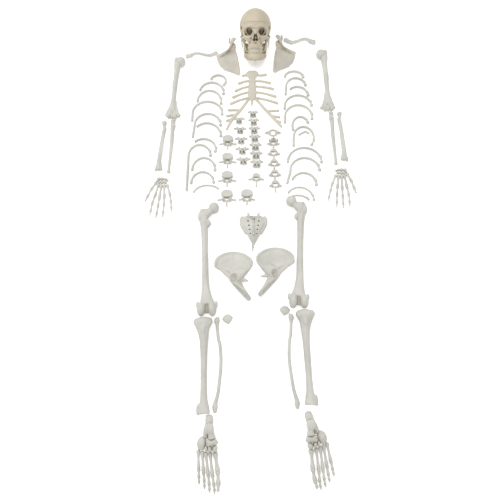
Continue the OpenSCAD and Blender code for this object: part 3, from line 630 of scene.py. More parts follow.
longBone = [(0, 0.80, 0.84), (0.05, 1, 1), (0.14, 0.86, 0.88), (0.30, 0.60, 0.66), (0.55, 0.54, 0.60),
            (0.78, 0.68, 0.72), (0.90, 0.88, 0.90),
            (1, 0.74, 0.78)]
tipBone = [(0, 0.86, 0.84), (0.10, 1, 0.95), (0.36, 0.60, 0.60), (0.62, 0.50, 0.50), (0.84, 0.66, 0.46),
           (1, 0.46, 0.34)]


# One bone of a finger or toe between two points, w wide and h high
def digit(a, b, w, h, z, tip=False):
    profile = tipBone if tip else longBone
    return lambda bm: rod(bm, [[*(a + (b - a) * f), z, w * p, h * q] for f, p, q in profile], sides=14,
                          steps=2, nose=0.22)


def digits(routes, scale, gap, z, width, tipWidth=0.78):
    shapes, wires = [], []
    for k, route in enumerate(routes):
        points = [Vector(p) * scale for p in route]
        w = width(k)
        for i, (a, b) in enumerate(zip(points, points[1:])):
            along = (b - a).normalized()
            tip = i == len(points) - 2
            shapes.append(digit(a + along * gap, b - along * gap, w - 1.3 * i, (w - 1.3 * i) * 0.84, z(k),
                                tip))
            wires.append((a - along * 3.5, a + along * 3.5, z(k)))
    return shapes, wires


def wireSet(wires, thick=1.3):
    def grow(bm):
        for a, b, z in wires:
            rod(bm, [[*a, z, thick, thick], [*a.lerp(b, 0.5), z + 0.4, thick, thick], [*b, z, thick, thick]],
                sides=8, steps=3)
    return grow


def plainMesh(shape):
    solid = solidOf(shape)
    return applied(solid, [])


def putStrung(bone, meshes, wires, turns):
    mesh, strings = joined(meshes), plainMesh(wireSet(wires))
    for side, turn in zip(("right", "left"), turns):
        node = bone + "_" + side
        place = putBone(node, mesh.copy(), turn, side == "left")
        putOut(strings.copy(), camel(node) + "Wires", bodyOf[node], "steel", place)


handSizes = {
    "length": 186, "turns": (-4, -2), "height": 7,
    "rays": [[[0.11, -0.17], [0.20, -0.41], [0.24, -0.58], [0.27, -0.72], [0.29, -0.82]],
             [[0.045, -0.18], [0.08, -0.47], [0.095, -0.66], [0.105, -0.85], [0.108, -0.97]],
             [[-0.02, -0.18], [-0.025, -0.50], [-0.03, -0.70], [-0.035, -0.89], [-0.04, -1.0]],
             [[-0.085, -0.17], [-0.13, -0.46], [-0.165, -0.65], [-0.175, -0.83], [-0.18, -0.94]],
             [[-0.145, -0.128], [-0.23, -0.30], [-0.29, -0.48], [-0.33, -0.62]]],
    "wrist": [[-0.10, -0.04, 0.085, 20], [-0.02, -0.035, 0.08, -10], [0.055, -0.04, 0.07, 0],
              [0.105, -0.065, 0.05, 0], [-0.125, -0.092, 0.058, 30], [-0.075, -0.125, 0.06, 10],
              [-0.01, -0.12, 0.075, 0],
              [0.065, -0.12, 0.07, -20]],
}


def wristBone(x, y, size, turn):
    l, z = handSizes["length"], handSizes["height"] + 1

    def grow(bm):
        knob(bm, (x * l, y * l, z), (size * l * 1.06, size * l * 0.97, 14), (0, 0, turn))
        knob(bm, (x * l + 2, y * l - 2, z + 1), (size * l * 0.6, size * l * 0.66, 11), (20, 10, turn + 40))
    return grow


hand = handSizes
rays, wires = digits(hand["rays"], hand["length"], 1.2, lambda k: hand["height"],
                     lambda k: 16 if k == 4 else 15.2)
wires += [(Vector(c[:2]) * hand["length"], Vector(d[:2]) * hand["length"], 9.5)
          for c, d in zip(hand["wrist"], hand["wrist"][1:])]
putStrung("hand", [smallBone(s) for s in rays] + [smallBone(wristBone(*c)) for c in hand["wrist"]], wires,
          hand["turns"])
print("hands laid out")

footSizes = {
    "length": 250, "turns": (1, 13),
    "rays": [[[0.085, -0.485], [0.125, -0.72], [0.135, -0.86], [0.13, -0.97]],
             [[0.01, -0.48], [0.05, -0.77], [0.07, -0.89], [0.078, -0.95], [0.082, -1.0]],
             [[-0.05, -0.48], [-0.01, -0.76], [0.005, -0.88], [0.01, -0.94], [0.012, -0.985]],
             [[-0.10, -0.47], [-0.075, -0.73], [-0.065, -0.84], [-0.06, -0.895], [-0.058, -0.94]],
             [[-0.155, -0.455], [-0.145, -0.69], [-0.14, -0.79], [-0.137, -0.84], [-0.135, -0.88]]],
}


def heelBone(bm):
    l = footSizes["length"]
    rod(bm, [[0, -0.02 * l, 14, 24, 22], [0, -0.06 * l, 16, 29, 29], [-1, -0.13 * l, 17, 28, 30],
             [-5, -0.20 * l, 16, 32, 28], [-10, -0.25 * l, 15, 26, 22],
             [-12, -0.28 * l, 14, 23, 20]])
    knob(bm, (9, -0.2 * l, 24), (18, 22, 12))
    knob(bm, (-9, -0.235 * l, 27), (16, 18, 9))


def ankleBone(bm):  # its domed top fits under the shin bone
    l = footSizes["length"]
    knob(bm, (3, -0.165 * l, 43), (32, 37, 19))
    knob(bm, (-7, -0.165 * l, 46), (9, 34, 15))
    knob(bm, (13, -0.165 * l, 46), (9, 32, 15))
    rod(bm, [[6, -0.19 * l, 41, 24, 18], [9, -0.23 * l, 40, 21, 17], [12, -0.28 * l, 38, 26, 19]])


def carveAnkle(bm):
    knob(bm, (3, -0.16 * footSizes["length"], 56), (8, 36, 10))


tarsalBones = [([-0.105, -0.365, 14], [34, 46, 24], -8), ([0.045, -0.343, 27], [44, 23, 27], -6),
               ([0.083, -0.43, 22], [20, 25, 23], 0), ([0.015, -0.43, 22], [15, 24, 21], 0),
               ([-0.036, -0.43, 20], [12, 23, 20], 0)]


def tarsal(at, size, turn):
    l = footSizes["length"]

    def grow(bm):
        knob(bm, (at[0] * l, at[1] * l, at[2]), size, (0, 0, turn))
        knob(bm, (at[0] * l, at[1] * l, at[2] + 1), [0.86 * size[0], 0.72 * size[1], 1.04 * size[2]],
             (0, 0, turn + 45))
    return grow


foot = footSizes
rays, wires = digits(foot["rays"], foot["length"], 1.2, lambda k: 13 if k == 0 else 9,
                     lambda k: 21 if k == 0 else 15)
small = [smallBone(heelBone, 1.5, 5), smallBone(ankleBone, 1.3, 4, carveAnkle)]
putStrung("foot", small + [smallBone(tarsal(*t), 1.2, 4) for t in tarsalBones] + [smallBone(s) for s in rays],
          wires, foot["turns"])
print("feet laid out")

# Hip bone, lying on its outer side: crest at the top, seat bone at the bottom
hipSizes = {
    "width": 150, "height": 192, "turns": (0, 0),
    "crest": [[-0.5, -0.3], [-0.46, -0.15], [-0.26, -0.035], [0, 0], [0.24, -0.05], [0.42, -0.17],
              [0.44, -0.28]],
}


def crestPoints():
    return [(x * hipSizes["width"], y * hipSizes["height"], 20 + 16 * abs(k - 3) / 3)
            for k, (x, y) in enumerate(hipSizes["crest"])]


def growHip(bm):
    w, h, crest = hipSizes["width"], hipSizes["height"], crestPoints()
    rod(bm, [[*p, 11 + (2 if k in (1, 5) else 0), 14] for k, p in enumerate(crest)], steps=5)
    for a, b in zip(crest, crest[1:]):
        web(bm, (a, (6, 6, 6)), (b, (6, 6, 6)), ((0.05 * w, -0.42 * h, 20), (34, 26, 20)))
    web(bm, ((0.02 * w, -0.52 * h, 25), (56, 54, 34)), ((0.12 * w, -0.42 * h, 26), (40, 34, 30)),
        ((0.30 * w, -0.40 * h, 30), (18, 20, 22)))
    rod(bm, [[-0.49 * w, -0.31 * h, 34, 12, 12], [-0.36 * w, -0.37 * h, 30, 9, 11],
             [-0.24 * w, -0.44 * h, 28, 14, 13],
             [-0.14 * w, -0.50 * h, 27, 16, 15]])
    rod(bm, [[0.42 * w, -0.28 * h, 34, 16, 12], [0.34 * w, -0.38 * h, 32, 14, 14],
             [0.22 * w, -0.44 * h, 28, 16, 16]])
    web(bm, ((0.04 * w, -0.62 * h, 22), (38, 32, 28)), ((0.25 * w, -0.84 * h, 17), (23, 24, 26)))
    web(bm, ((0.25 * w, -0.84 * h, 18), (22, 26, 30)), ((0.37 * w, -0.95 * h, 22), (20, 20, 34)))
    rod(bm, [[0.14 * w, -0.56 * h, 24, 20, 14], [0.28 * w, -0.585 * h, 25, 11, 10],
             [0.36 * w, -0.60 * h, 26, 6, 6]])
    rod(bm, [[-0.02 * w, -0.62 * h, 36, 22, 20], [0.06 * w, -0.67 * h, 44, 17, 16],
             [0.12 * w, -0.72 * h, 52, 14, 14],
             [0.24 * w, -0.80 * h, 60, 12, 18]])
    rod(bm, [[0.22 * w, -0.79 * h, 62, 14, 18], [0.30 * w, -0.87 * h, 57, 10, 14],
             [0.34 * w, -0.92 * h, 50, 10, 13],
             [0.38 * w, -0.96 * h, 30, 14, 16]])


def carveHip(bm):
    w, h = hipSizes["width"], hipSizes["height"]
    knob(bm, (-0.04 * w, -0.54 * h, 52), (43, 43, 50))
    knob(bm, (-0.02 * w, -0.56 * h, 30), (22, 26, 14))
    knob(bm, (-0.08 * w, -0.20 * h, 47), (104, 58, 44), (0, 0, 12))
    knob(bm, (0.22 * w, -0.18 * h, 46), (56, 46, 34), (0, 0, -20))


putPair("hip_bone", boneMesh(growHip, carveHip, 1.8, 6), hipSizes["turns"])
print("hip bones laid out")

# Shoulder blade: socket end at the origin, blade tip below it
scapulaSizes = {"height": 160, "turns": (0, 3)}


def growScapula(bm):
    h = scapulaSizes["height"]
    tip, corner = (34, -h - 24), (-68, -76)
    web(bm, ((6, -40, 8), (16, 16, 8)), ((*corner, 5), (9, 9, 5)),
        ((tip[0] - 4, tip[1] + 10, 5), (15, 20, 5)))
    web(bm, ((corner[0] + 2, corner[1] - 4, 5), (11, 11, 5)), ((corner[0] + 10, -0.7 * h, 5), (11, 11, 5)),
        ((corner[0] + 38, tip[1] + 34, 5), (11, 11, 5)), ((tip[0] - 6, tip[1] + 14, 5), (13, 13, 5)),
        ((0, -70, 8), (12, 12, 7)))
    rod(bm, [[8, -38, 12, 14, 13], [15, -56, 10, 10, 11], [22, -0.5 * h, 9, 9, 10],
             [29, -0.75 * h, 8, 10, 10], [33, -h, 7, 13, 10],
             [tip[0], tip[1] + 10, 6, 15, 9]])
    rod(bm, [[corner[0], corner[1], 6, 9, 8], [corner[0] + 5, -0.62 * h, 6, 7, 7],
             [corner[0] + 18, -0.82 * h, 6, 7, 7], [corner[0] + 44, tip[1] + 32, 6, 8, 7],
             [tip[0] - 8, tip[1] + 12, 6, 12, 8]])
    rod(bm, [[corner[0], corner[1], 6, 9, 7], [-40, -58, 7, 7, 6], [-16, -42, 9, 8, 8], [0, -34, 12, 12, 12]])
    web(bm, ((7, -29, 14), (28, 33, 20)), ((-2, -46, 12), (24, 20, 14)))
    rod(bm, [[-60, -84, 8, 9, 7], [-44, -80, 13, 6, 14], [-28, -68, 17, 6, 20], [-14, -56, 21, 7, 20],
             [-6, -42, 27, 10, 14], [0, -26, 32, 15, 10], [6, -10, 33, 21, 9],
             [13, 1, 32, 19, 8]])
    rod(bm, [[2, -26, 16, 13, 12], [-8, -15, 20, 10, 10], [-12, -6, 23, 9, 9], [-10, 8, 24, 10, 9]])


def carveScapula(bm):
    h = scapulaSizes["height"]
    knob(bm, (-16, -0.66 * h, 22), (64, 74, 33), (0, 0, 18))
    knob(bm, (-34, -64, 18), (40, 16, 22), (0, 0, 30))
    knob(bm, (24, -28, 15), (14, 26, 15), (0, 0, 8))


putPair("scapula", boneMesh(growScapula, carveScapula, 1.5, 5, 0.8), scapulaSizes["turns"])

clavicleSizes = {"length": 140, "turns": (2, 2)}


def growClavicle(bm):
    l = clavicleSizes["length"]
    rod(bm, [[0, -8, 8, 21, 16], [0.05 * l, -7, 8, 20, 17], [0.12 * l, -3, 8, 16, 15],
             [0.28 * l, 8, 7, 12, 12], [0.42 * l, 7, 7, 11, 12], [0.55 * l, 1, 7, 12, 12],
             [0.72 * l, -4, 7, 14, 11], [0.84 * l, -1, 7, 17, 10], [0.94 * l, 6, 7, 20, 10],
             [l, 10, 7, 18, 9]])
    knob(bm, (0.78 * l, -8, 6), (14, 10, 9))
    knob(bm, (0.14 * l, -6, 4), (20, 12, 8))


def carveClavicle(bm):
    l = clavicleSizes["length"]
    rod(bm, [[0.34 * l, 6, 1, 5, 4], [0.5 * l, 3, 0, 6, 4], [0.64 * l, -1, 1, 5, 4]])


putPair("clavicle", boneMesh(growClavicle, carveClavicle, 1.4, 4, 0.8), clavicleSizes["turns"])
print("shoulders laid out")

# Ribs: half width and half height of the arch, angle of the head end, angle where the arch
# stops, and how far from the arch's middle its straight stretch ends
ribSizes = {
    "thick": 11, "high": 13, "smaller": 0.8,
    "right": [(35, 31, -40, 165), (54, 55, -5, 168), (53, 60, -6, 178), (65, 60, -4, 180, -66, -41),
              (57, 57, 0, 180, -62, -63), (62, 66, 2, 133), (54, 50, -12, 135), (47, 52, 2, 180, -48, -165),
              (48, 55, -2, 184), (47, 52, 5, 184), (58, 44, 44, 166), (22, 25, 40, 80, -23, 7)],
    "left": [(42, 33, 6, 178), (45, 48, 12, 180, -48, -43), (48, 52, 8, 132), (60, 58, 6, 180, -61, -15),
             (60, 60, -10, 180, -61, -32), (36, 48, 25, 180, -34, -22), (45, 54, -40, 180, -47, -44),
             (72, 70, 2, 180), (62, 62, 5, 180, -77, -59), (52, 55, 0, 155), (57, 57, 2, 146),
             (60, 58, 45, 112)],
}


def growRib(arch, slim):
    rx, ry, start, stop, *leg = arch
    t, h = ribSizes["thick"] * slim, ribSizes["high"] * slim
    z = h * 0.58
    angles = [radians(start + (stop - start) * i / 14) for i in range(15)]
    path = [(rx * cos(a), ry * sin(a)) for a in angles]
    if leg:
        path.append(tuple(leg))
    last = len(path) - 1

    def size(f):  # slim neck, full angle, flat body, flared breast end
        if f < 0.08:
            return 0.72, 0.84
        if f < 0.2:
            return 1.08, 0.92
        return (0.86, 1) if f < 0.9 else (1, 1.12)

    def grow(bm):
        rod(bm, [[*p, z, t * size(i / last)[0], h * size(i / last)[1]] for i, p in enumerate(path)], steps=3,
            nose=0.15)
        knob(bm, (*path[0], z - 1), (t * 1.45, t * 1.35, h * 0.95))
        knob(bm, (*(Vector(path[1]).lerp(Vector(path[2]), 0.6) * 1.05), z - 0.5), (t * 1.1, t * 1.2, h * 0.8))
    return grow


def carveRib(arch, slim):  # the groove under the rib's inner edge
    rx, ry, start, stop, *leg = arch
    inner = 1 - ribSizes["thick"] * slim * 0.52 / min(rx, ry)
    angles = [start + (stop - start) * f for f in (0.16, 0.3, 0.45, 0.6, 0.75, 0.88)]

    def carve(bm):
        rod(bm, [[rx * inner * cos(radians(a)), ry * inner * sin(radians(a)), 4, 3, 3.4] for a in angles],
            sides=8)
    return carve


for side in ("right", "left"):
    for k, arch in enumerate(ribSizes[side], 1):
        slim = ribSizes["smaller"] if k > 10 else 1
        putBone(f"rib_{side}_{k:02d}", boneMesh(growRib(arch, slim), carveRib(arch, slim), 1.4, 4, 0.9))
print("ribs laid out")

# Breastbone and rib cartilages
sternumSizes = {"length": 188, "thick": 12}


def growSternum(bm):
    l, t = sternumSizes["length"], sternumSizes["thick"]
    z = t / 2
    rod(bm, [[0, -3, z, 44, t], [0, -10, z, 58, t], [0, -18, z, 62, t], [0, -30, z, 48, t],
             [0, -40, z, 34, t], [0, -48, z, 28, t * 0.9]], sides=22)
    knob(bm, (0, -46, z + 1), (30, 9, t))
    rod(bm, [[0, -46, z, 32, t * 0.85], [0, -0.36 * l, z, 34, t * 0.85], [0, -0.45 * l, z, 36, t * 0.85],
             [0, -0.58 * l, z, 39, t * 0.85], [0, -0.68 * l, z, 41, t * 0.85], [0, -0.76 * l, z, 34, t * 0.8],
             [0, -0.82 * l, z, 24, t * 0.8]], sides=22)
    for f in (0.36, 0.47, 0.58, 0.69):
        knob(bm, (0, -f * l, z + 1.6), (26 + f * 12, 5, t * 0.8))
    rod(bm, [[0, -0.8 * l, z, 14, t * 0.5], [-1, -0.9 * l, z, 11, t * 0.5], [-3, -l + 2, z, 8, t * 0.45]])


def carveSternum(bm):
    l, t = sternumSizes["length"], sternumSizes["thick"]
    knob(bm, (0, 3, t), (22, 10, t * 2))
    bothSides(bm, lambda half: [knob(half, (x, y, t / 2), (9, 8, t)) for x, y in
                                ((33, -12), (22, -46), (21, -0.4 * l), (22, -0.52 * l), (23, -0.63 * l),
                                 (23, -0.73 * l))])


putBone("sternum", boneMesh(growSternum, carveSternum, 1.5, 5, 0.9))

cartilageSizes = {
    "wide": 12.5, "ends": [
        [(-46, -29), (-63, -70), (-78, -110), (-89, -144), (-99, -178), (-108, -209), (-114, -240),
         (-115, -265)],
        [(65, -20), (85, -67), (98, -99), (108, -139), (115, -174), (119, -212), (122, -245), (126, -271)]],
    "arms": [[(-15, -150), (-52, -209), (-86, -252), (-113, -309)],
             [(15, -150), (64, -214), (103, -262), (128, -294)]],
}


def cartilages():
    l, z, w = sternumSizes["length"], sternumSizes["thick"] / 2, cartilageSizes["wide"]
    meshes = []
    for s, ends, arm in zip((-1, 1), cartilageSizes["ends"], cartilageSizes["arms"]):
        for k in range(5):
            x, y = s * (26 if k == 0 else 13 + k), -24 - k * 0.16 * l
            ex, ey = ends[k]
            bend = min(y, (y + ey) / 2 + 3)
            path = [[x, y, z, w * 0.8, 9], [(x + ex) / 2, bend, z, w * 0.86, 9], [ex, ey, z, w * 1.1, 10]]
            meshes.append(smallBone(lambda bm: rod(bm, path, sides=14, steps=6, nose=0.2), 1.3, 4))

        def arch(bm):
            rod(bm, [[*p, z, w * f, 10] for p, f in zip(arm, (0.9, 1.15, 1.1, 0.8))], sides=14, steps=6)
            for k in (5, 6, 7):
                root = Vector(arm[1]).lerp(Vector(arm[2]), (k - 5) / 2)
                tip = Vector(ends[k])
                rod(bm, [[*root, z, w * 0.8, 9], [*root.lerp(tip, 0.5), z, w * 0.84, 9], [*tip, z, w, 10]],
                    nose=0.2)
        meshes.append(smallBone(arch, 1.3, 4))
    return joined(meshes)


putBone("costal_cartilages", cartilages())
print("breastbone laid out")


# Spine. A vertebra stands on its lower face, its body's middle at the origin, spine towards -y
def vertebra(body, canal, span, tail, drop, arch, facet=8):
    bw, bd, bh = body
    z, back = arch, -bd / 2
    rear = back - canal * 0.68
    px, py = canal / 2 + 4, (back + rear) / 2

    def side(bm):
        rod(bm, [[min(canal, bw * 0.72) / 2 + 1, back + 6, z, 9, 9], [px, py, z, 8, 12],
                 [canal / 3, rear + 2, z - 1, 6, 14],
                 [0, rear - 3, z - 2, 6, 13]])
        rod(bm, [[px - 2, py, z, 10, 10], [span * 0.36, py - 3, z, 8.5, 8.5],
                 [span / 2 - 3, py - 5, z + 1, 10, 10]])
        rod(bm, [[px + 1, py - 1, z - facet * 0.4, 8, 9], [px + 1, py - 2, z + facet, 9, 11]], up=(0, 1, 0))
        rod(bm, [[px - 2, rear + 3, z, 8, 8], [px - 2, rear + 1, max(3, z - facet), 9, 8]], up=(0, 1, 0))

    def grow(bm):
        rod(bm, [[0, 0, 0.6, bw * 0.95, bd * 0.95], [0, 0, bh * 0.12, bw, bd],
                 [0, 0, bh * 0.5, bw * 0.84, bd * 0.86], [0, 0, bh * 0.88, bw, bd],
                 [0, 0, bh - 0.6, bw * 0.95, bd * 0.95]], up=(0, 1, 0), sides=24,
            nose=0.02)
        bothSides(bm, side)
        rod(bm, [[0, rear, z - 2, 6, 14], [0, rear - tail * 0.6, z - drop * 0.6, 5, 11],
                 [0, rear - tail, z - drop, 8, 9]])

    def carve(bm):
        rod(bm, [[0, back - canal * 0.30, -4, canal * 0.86, canal * 0.62],
                 [0, back - canal * 0.30, bh + 30, canal * 0.86, canal * 0.62]],
            up=(0, 1, 0), sides=20, steps=1)
        knob(bm, (0, 1, bh + 1.2), (bw * 0.74, bd * 0.70, 5))
    return grow, carve


def vertebraMesh(sizes, voxel, smooth=4, more=None, carveMore=None):
    grow, carve = vertebra(**sizes)

    def fullGrow(bm):
        grow(bm)
        if more:
            more(bm)

    def fullCarve(bm):
        carve(bm)
        if carveMore:
            carveMore(bm)
    return boneMesh(fullGrow, fullCarve, voxel, smooth, 0.7)


def column(base, places):  # copies of one vertebra, each at its place [x, y, size]
    meshes = []
    for x, y, grown in places:
        mesh = base.copy()
        mesh.transform(Matrix.Translation((x, y, 0)) @ Matrix.Scale(grown, 4))
        meshes.append(mesh)
    return meshes


neckSizes = {"pitch": 50, "body": (25, 15, 13), "canal": 23, "span": 54, "tail": 14, "drop": 1, "arch": 9,
             "facet": 6}


def atlas(bm):
    rod(bm, [[17 * cos(radians(a)), 14 * sin(radians(a)) - 4, 8, 7, 11] for a in range(-90, 271, 30)],
        blunt=True)
    bothSides(bm, lambda half: (rod(half, [[15, -1, 9, 14, 15], [22, -3, 8, 13, 12], [29, -4, 8, 10, 8],
                                           [33, -6, 8, 8, 8]]),
                                knob(half, (14, -1, 11), (12, 20, 13), (0, 0, -14))))
    knob(bm, (0, 11, 8), (9, 6, 9))


def carveAtlas(bm):
    bothSides(bm, lambda half: (knob(half, (14, 0, 19), (9, 15, 8)), knob(half, (26, -4, 9), (5, 5, 30))))


def neckHoles(bm):
    bothSides(bm, lambda half: knob(half, (17, -8, 8), (5, 5, 40)))


def denPin(bm):
    rod(bm, [[0, 1, 14, 13, 12], [0, 1, 20, 11, 10], [0, 1, 26, 10, 9], [0, 1, 31, 8, 8]], up=(0, 1, 0))
    bothSides(bm, lambda half: rod(half, [[13, -4, 10, 14, 12], [14, -4, 18, 15, 14]], up=(0, 1, 0)))


neckSet = {key: value for key, value in neckSizes.items() if key != "pitch"}
neck = [boneMesh(atlas, carveAtlas, 1.1, 4, 0.6)]
neck[0].transform(Matrix.Translation((-3, 0, 0)))
second = vertebraMesh({**neckSet, "body": (26, 15, 20), "canal": 22, "arch": 11}, 1.1, 4, denPin, neckHoles)
neck += column(second, [(-2, 8 - neckSizes["pitch"], 1)])
neck += column(vertebraMesh(neckSet, 1.1, 4, None, neckHoles),
               [((k - 3) * 1.5, 10 - k * neckSizes["pitch"], 1) for k in (2, 3, 4)])
neck += column(vertebraMesh({**neckSet, "tail": 24}, 1.1), [(3, 10 - 5 * neckSizes["pitch"], 1)])
neck += column(vertebraMesh({**neckSet, "body": (30, 18, 16), "canal": 20, "span": 68, "tail": 28, "drop": 3,
                             "arch": 12}, 1.2),
               [(-76, -11 - 4 * neckSizes["pitch"], 1)])
putBone("cervical_vertebrae", joined(neck))

# Chest vertebrae lean, each with its long spine over the next one
chestSizes = {
    "upper": {"body": (29, 21, 19), "canal": 16, "span": 56, "tail": 30, "drop": 24, "arch": 13.7,
              "facet": 8},
    "lower": {"body": (32, 24, 21), "canal": 16, "span": 51, "tail": 26, "drop": 20.8, "arch": 15.1,
              "facet": 8},
    "upperPitch": 50, "lowerPitch": 41, "lean": 80,
}


def leaning(sizes):
    mesh = vertebraMesh(sizes, 1.25)
    mesh.transform(Matrix.Rotation(radians(-chestSizes["lean"]), 4,
                                   "X") @ Matrix.Translation((0, -sizes["body"][1] / 2, 0)))
    return mesh


putBone("thoracic_vertebrae_1_5", joined(column(leaning(chestSizes["upper"]), [
    (5 * k, -chestSizes["upperPitch"] * k, 0.94 + 0.03 * k) for k in range(5)])))
putBone("thoracic_vertebrae_6_12", joined(column(leaning(chestSizes["lower"]), [
    (2.5 * k, -chestSizes["lowerPitch"] * k, 0.92 + 0.026 * k) for k in range(7)])))

loinSizes = {"body": (48, 33, 26), "canal": 20, "span": 77, "tail": 24, "drop": 0, "arch": 16, "facet": 10}
loinPitch = 87
loin = column(vertebraMesh(loinSizes, 1.5), [(0, -loinPitch * k, 0.97 + 0.02 * k) for k in range(4)])
loin += column(vertebraMesh({**loinSizes, "body": (50, 34, 27), "canal": 22, "span": 68, "tail": 20}, 1.5),
               [(82, 2 - loinPitch * 3, 1)])
putBone("lumbar_vertebrae", joined(loin))
print("spine laid out")

# Sacrum, lying on its hollow front
sacrumSizes = {"length": 106}


def sacrumSide(bm):
    l = sacrumSizes["length"]
    rod(bm, [[46, -8, 16, 14, 20], [50, -18, 16, 16, 26], [50, -0.35 * l, 18, 14, 22],
             [42, -0.52 * l, 20, 13, 18],
             [30, -0.72 * l, 20, 12, 15]])
    rod(bm, [[19, -16, 28, 12, 13], [21, -4, 31, 11, 14], [22, 3, 32, 10, 12]])
    for f, x in ((0.24, 29), (0.42, 26), (0.58, 22), (0.74, 17)):
        knob(bm, (x, -f * l, 34 - 10 * f), (8, 13, 7))


def growSacrum(bm):
    l = sacrumSizes["length"]
    rod(bm, [[0, -8, 16, 96, 20], [0, -14, 18, 104, 22], [0, -0.3 * l, 26, 98, 19],
             [0, -0.45 * l, 28, 84, 18], [0, -0.6 * l, 27, 68, 16], [0, -0.8 * l, 23, 50, 14],
             [0, -0.92 * l, 18, 36, 12], [0, -l, 14, 26, 11]], sides=24)
    rod(bm, [[0, -l - 3, 12, 20, 9], [-1, -l - 11, 10, 15, 8], [-2, -l - 14, 9, 11, 7],
             [-3, -l - 22, 7, 12, 7], [-3, -l - 27, 6, 8, 6],
             [-4, -l - 36, 5, 8, 7]])
    for f in (0.16, 0.32, 0.48, 0.64, 0.78):
        knob(bm, (0, -f * l, 38 - 6 * abs(f - 0.4)), (8, 15, 12))
    bothSides(bm, sacrumSide)


def carveSacrum(bm):
    l = sacrumSizes["length"]
    for f, x in ((0.28, 22), (0.46, 19), (0.62, 16), (0.77, 13)):
        bothSides(bm, lambda half: rod(half, [[x, -f * l, 2, 7, 7], [x, -f * l, 50, 7, 6]], up=(0, 1, 0),
                                       steps=1))
    rod(bm, [[0, 6, 27, 20, 10], [0, -14, 29, 15, 8], [0, -0.3 * l, 32, 8, 5]])
    knob(bm, (0, -0.4 * l, 2), (80, 90, 30))


putBone("sacrum", boneMesh(growSacrum, carveSacrum, 1.5, 5, 0.9))
print("sacrum laid out")

# Skull: ear holes at the origin, up +y, forwards +z
skullSizes = {"width": 142, "length": 176, "wall": 6, "cut": 52, "cutGap": 0.6, "lean": 40,
              "toothLine": -51, "bite": 1, "jaw": 98, "condyle": 12, "archX": 66}
craniumLow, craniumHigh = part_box("cranium")
skullAt = Vector(((craniumLow.x + craniumHigh.x) / 2, (craniumLow.y + craniumHigh.y) / 2 + 0.0031,
                  craniumLow.z + 0.0627))
skullPlace = Matrix.Translation(skullAt) @ Matrix.Rotation(radians(skullSizes["lean"]), 4, "X") @ toMetres
eggMiddle, eggHeight = 42.5, 141


def egg(bm, grow=0):
    w, l = skullSizes["width"], skullSizes["length"]
    knob(bm, (0, eggMiddle, 2), (w + grow, eggHeight + grow, l + grow), fine=5)


def eggOutside(bm):
    egg(bm)
    knob(bm, (0, 24, -72), (52, 46, 30))


def carveTemples(bm):
    bothSides(bm, lambda half: knob(half, (82, 26, 48), (44, 74, 58), (0, 22, 0)))


def growCranium(bm):
    eggOutside(bm)
    web(bm, ((0, -2, -38), (84, 40, 76)), ((0, 1, 19), (68, 17, 50)))
    bothSides(bm, growCheek)
    web(bm, ((0, 26, 84), (20, 16, 12)), ((22, -32, 58), (20, 20, 18)), ((-22, -32, 58), (20, 20, 18)),
        ((12, -32, 80), (16, 18, 14)), ((-12, -32, 80), (16, 18, 14)), ((0, 0, 40), (34, 30, 30)))
    rod(bm, [[28 * sin(radians(a)), -43, 60 + 31 * cos(radians(a)), 9, 16] for a in range(-81, 82, 18)],
        up=(0, 1, 0))
    bothSides(bm, lambda half: (knob(half, (13, -24, -24), (13, 9, 20)),
                                web(half, ((24, -8, 34), (20, 20, 26)), ((22, -40, 40), (12, 22, 24)))))


def growCheek(bm):
    rod(bm, [[3, 30, 86, 14, 13], [16, 36, 86, 11, 13], [30, 36, 81, 10, 12], [42, 32, 72, 10, 12],
             [48, 24, 65, 10, 12]], up=(0, 1, 0))
    web(bm, ((45, 34, 64), (14, 12, 16)), ((16, 40, 80), (16, 16, 16)), ((44, 52, 50), (14, 14, 14)))
    rod(bm, [[48, 28, 64, 9, 12], [50, 12, 60, 8, 10], [48, -2, 62, 9, 13]])
    web(bm, ((47, -6, 62), (12, 18, 12)), ((28, -20, 74), (14, 17, 13)), ((25, -5, 78), (12, 9, 10)))
    rod(bm, [[46, -3, 66, 9, 8], [35, -9, 76, 9, 8], [22, -6, 82, 9, 8], [14, 5, 85, 8, 8],
             [9, 20, 86, 9, 9]], up=(0, 1, 0))
    rod(bm, [[54, 10, -14, 20, 24], [53, -6, -19, 18, 21], [52, -16, -21, 14, 17], [50, -25, -22, 8, 10]])


def growArches(bm):
    def arch(half):
        rod(half, [[50, -6, 60, 7, 12], [58, -6, 50, 5, 10], [skullSizes["archX"] - 1, -4, 38, 5, 8],
                   [skullSizes["archX"], -1, 22, 5, 8], [62, 2, 8, 7, 9], [56, 5, 0, 10, 10]], up=(0, 1, 0))
        rod(half, [[3, -8, 82, 3, 6], [7, -12, 78, 4, 5], [9, -16, 72, 4, 5]], sides=8)
    bothSides(bm, arch)
    rod(bm, [[0, 30, 84, 16, 9], [0, 20, 88, 13, 8], [0, 12, 92, 12, 6], [0, 6, 95, 13, 5]], sides=16)
    rod(bm, [[0, 6, 80, 2.2, 12], [0, -8, 76, 2.2, 14], [0, -22, 76, 3, 16]], sides=8)
    knob(bm, (0, -26, 91), (7, 5, 7))


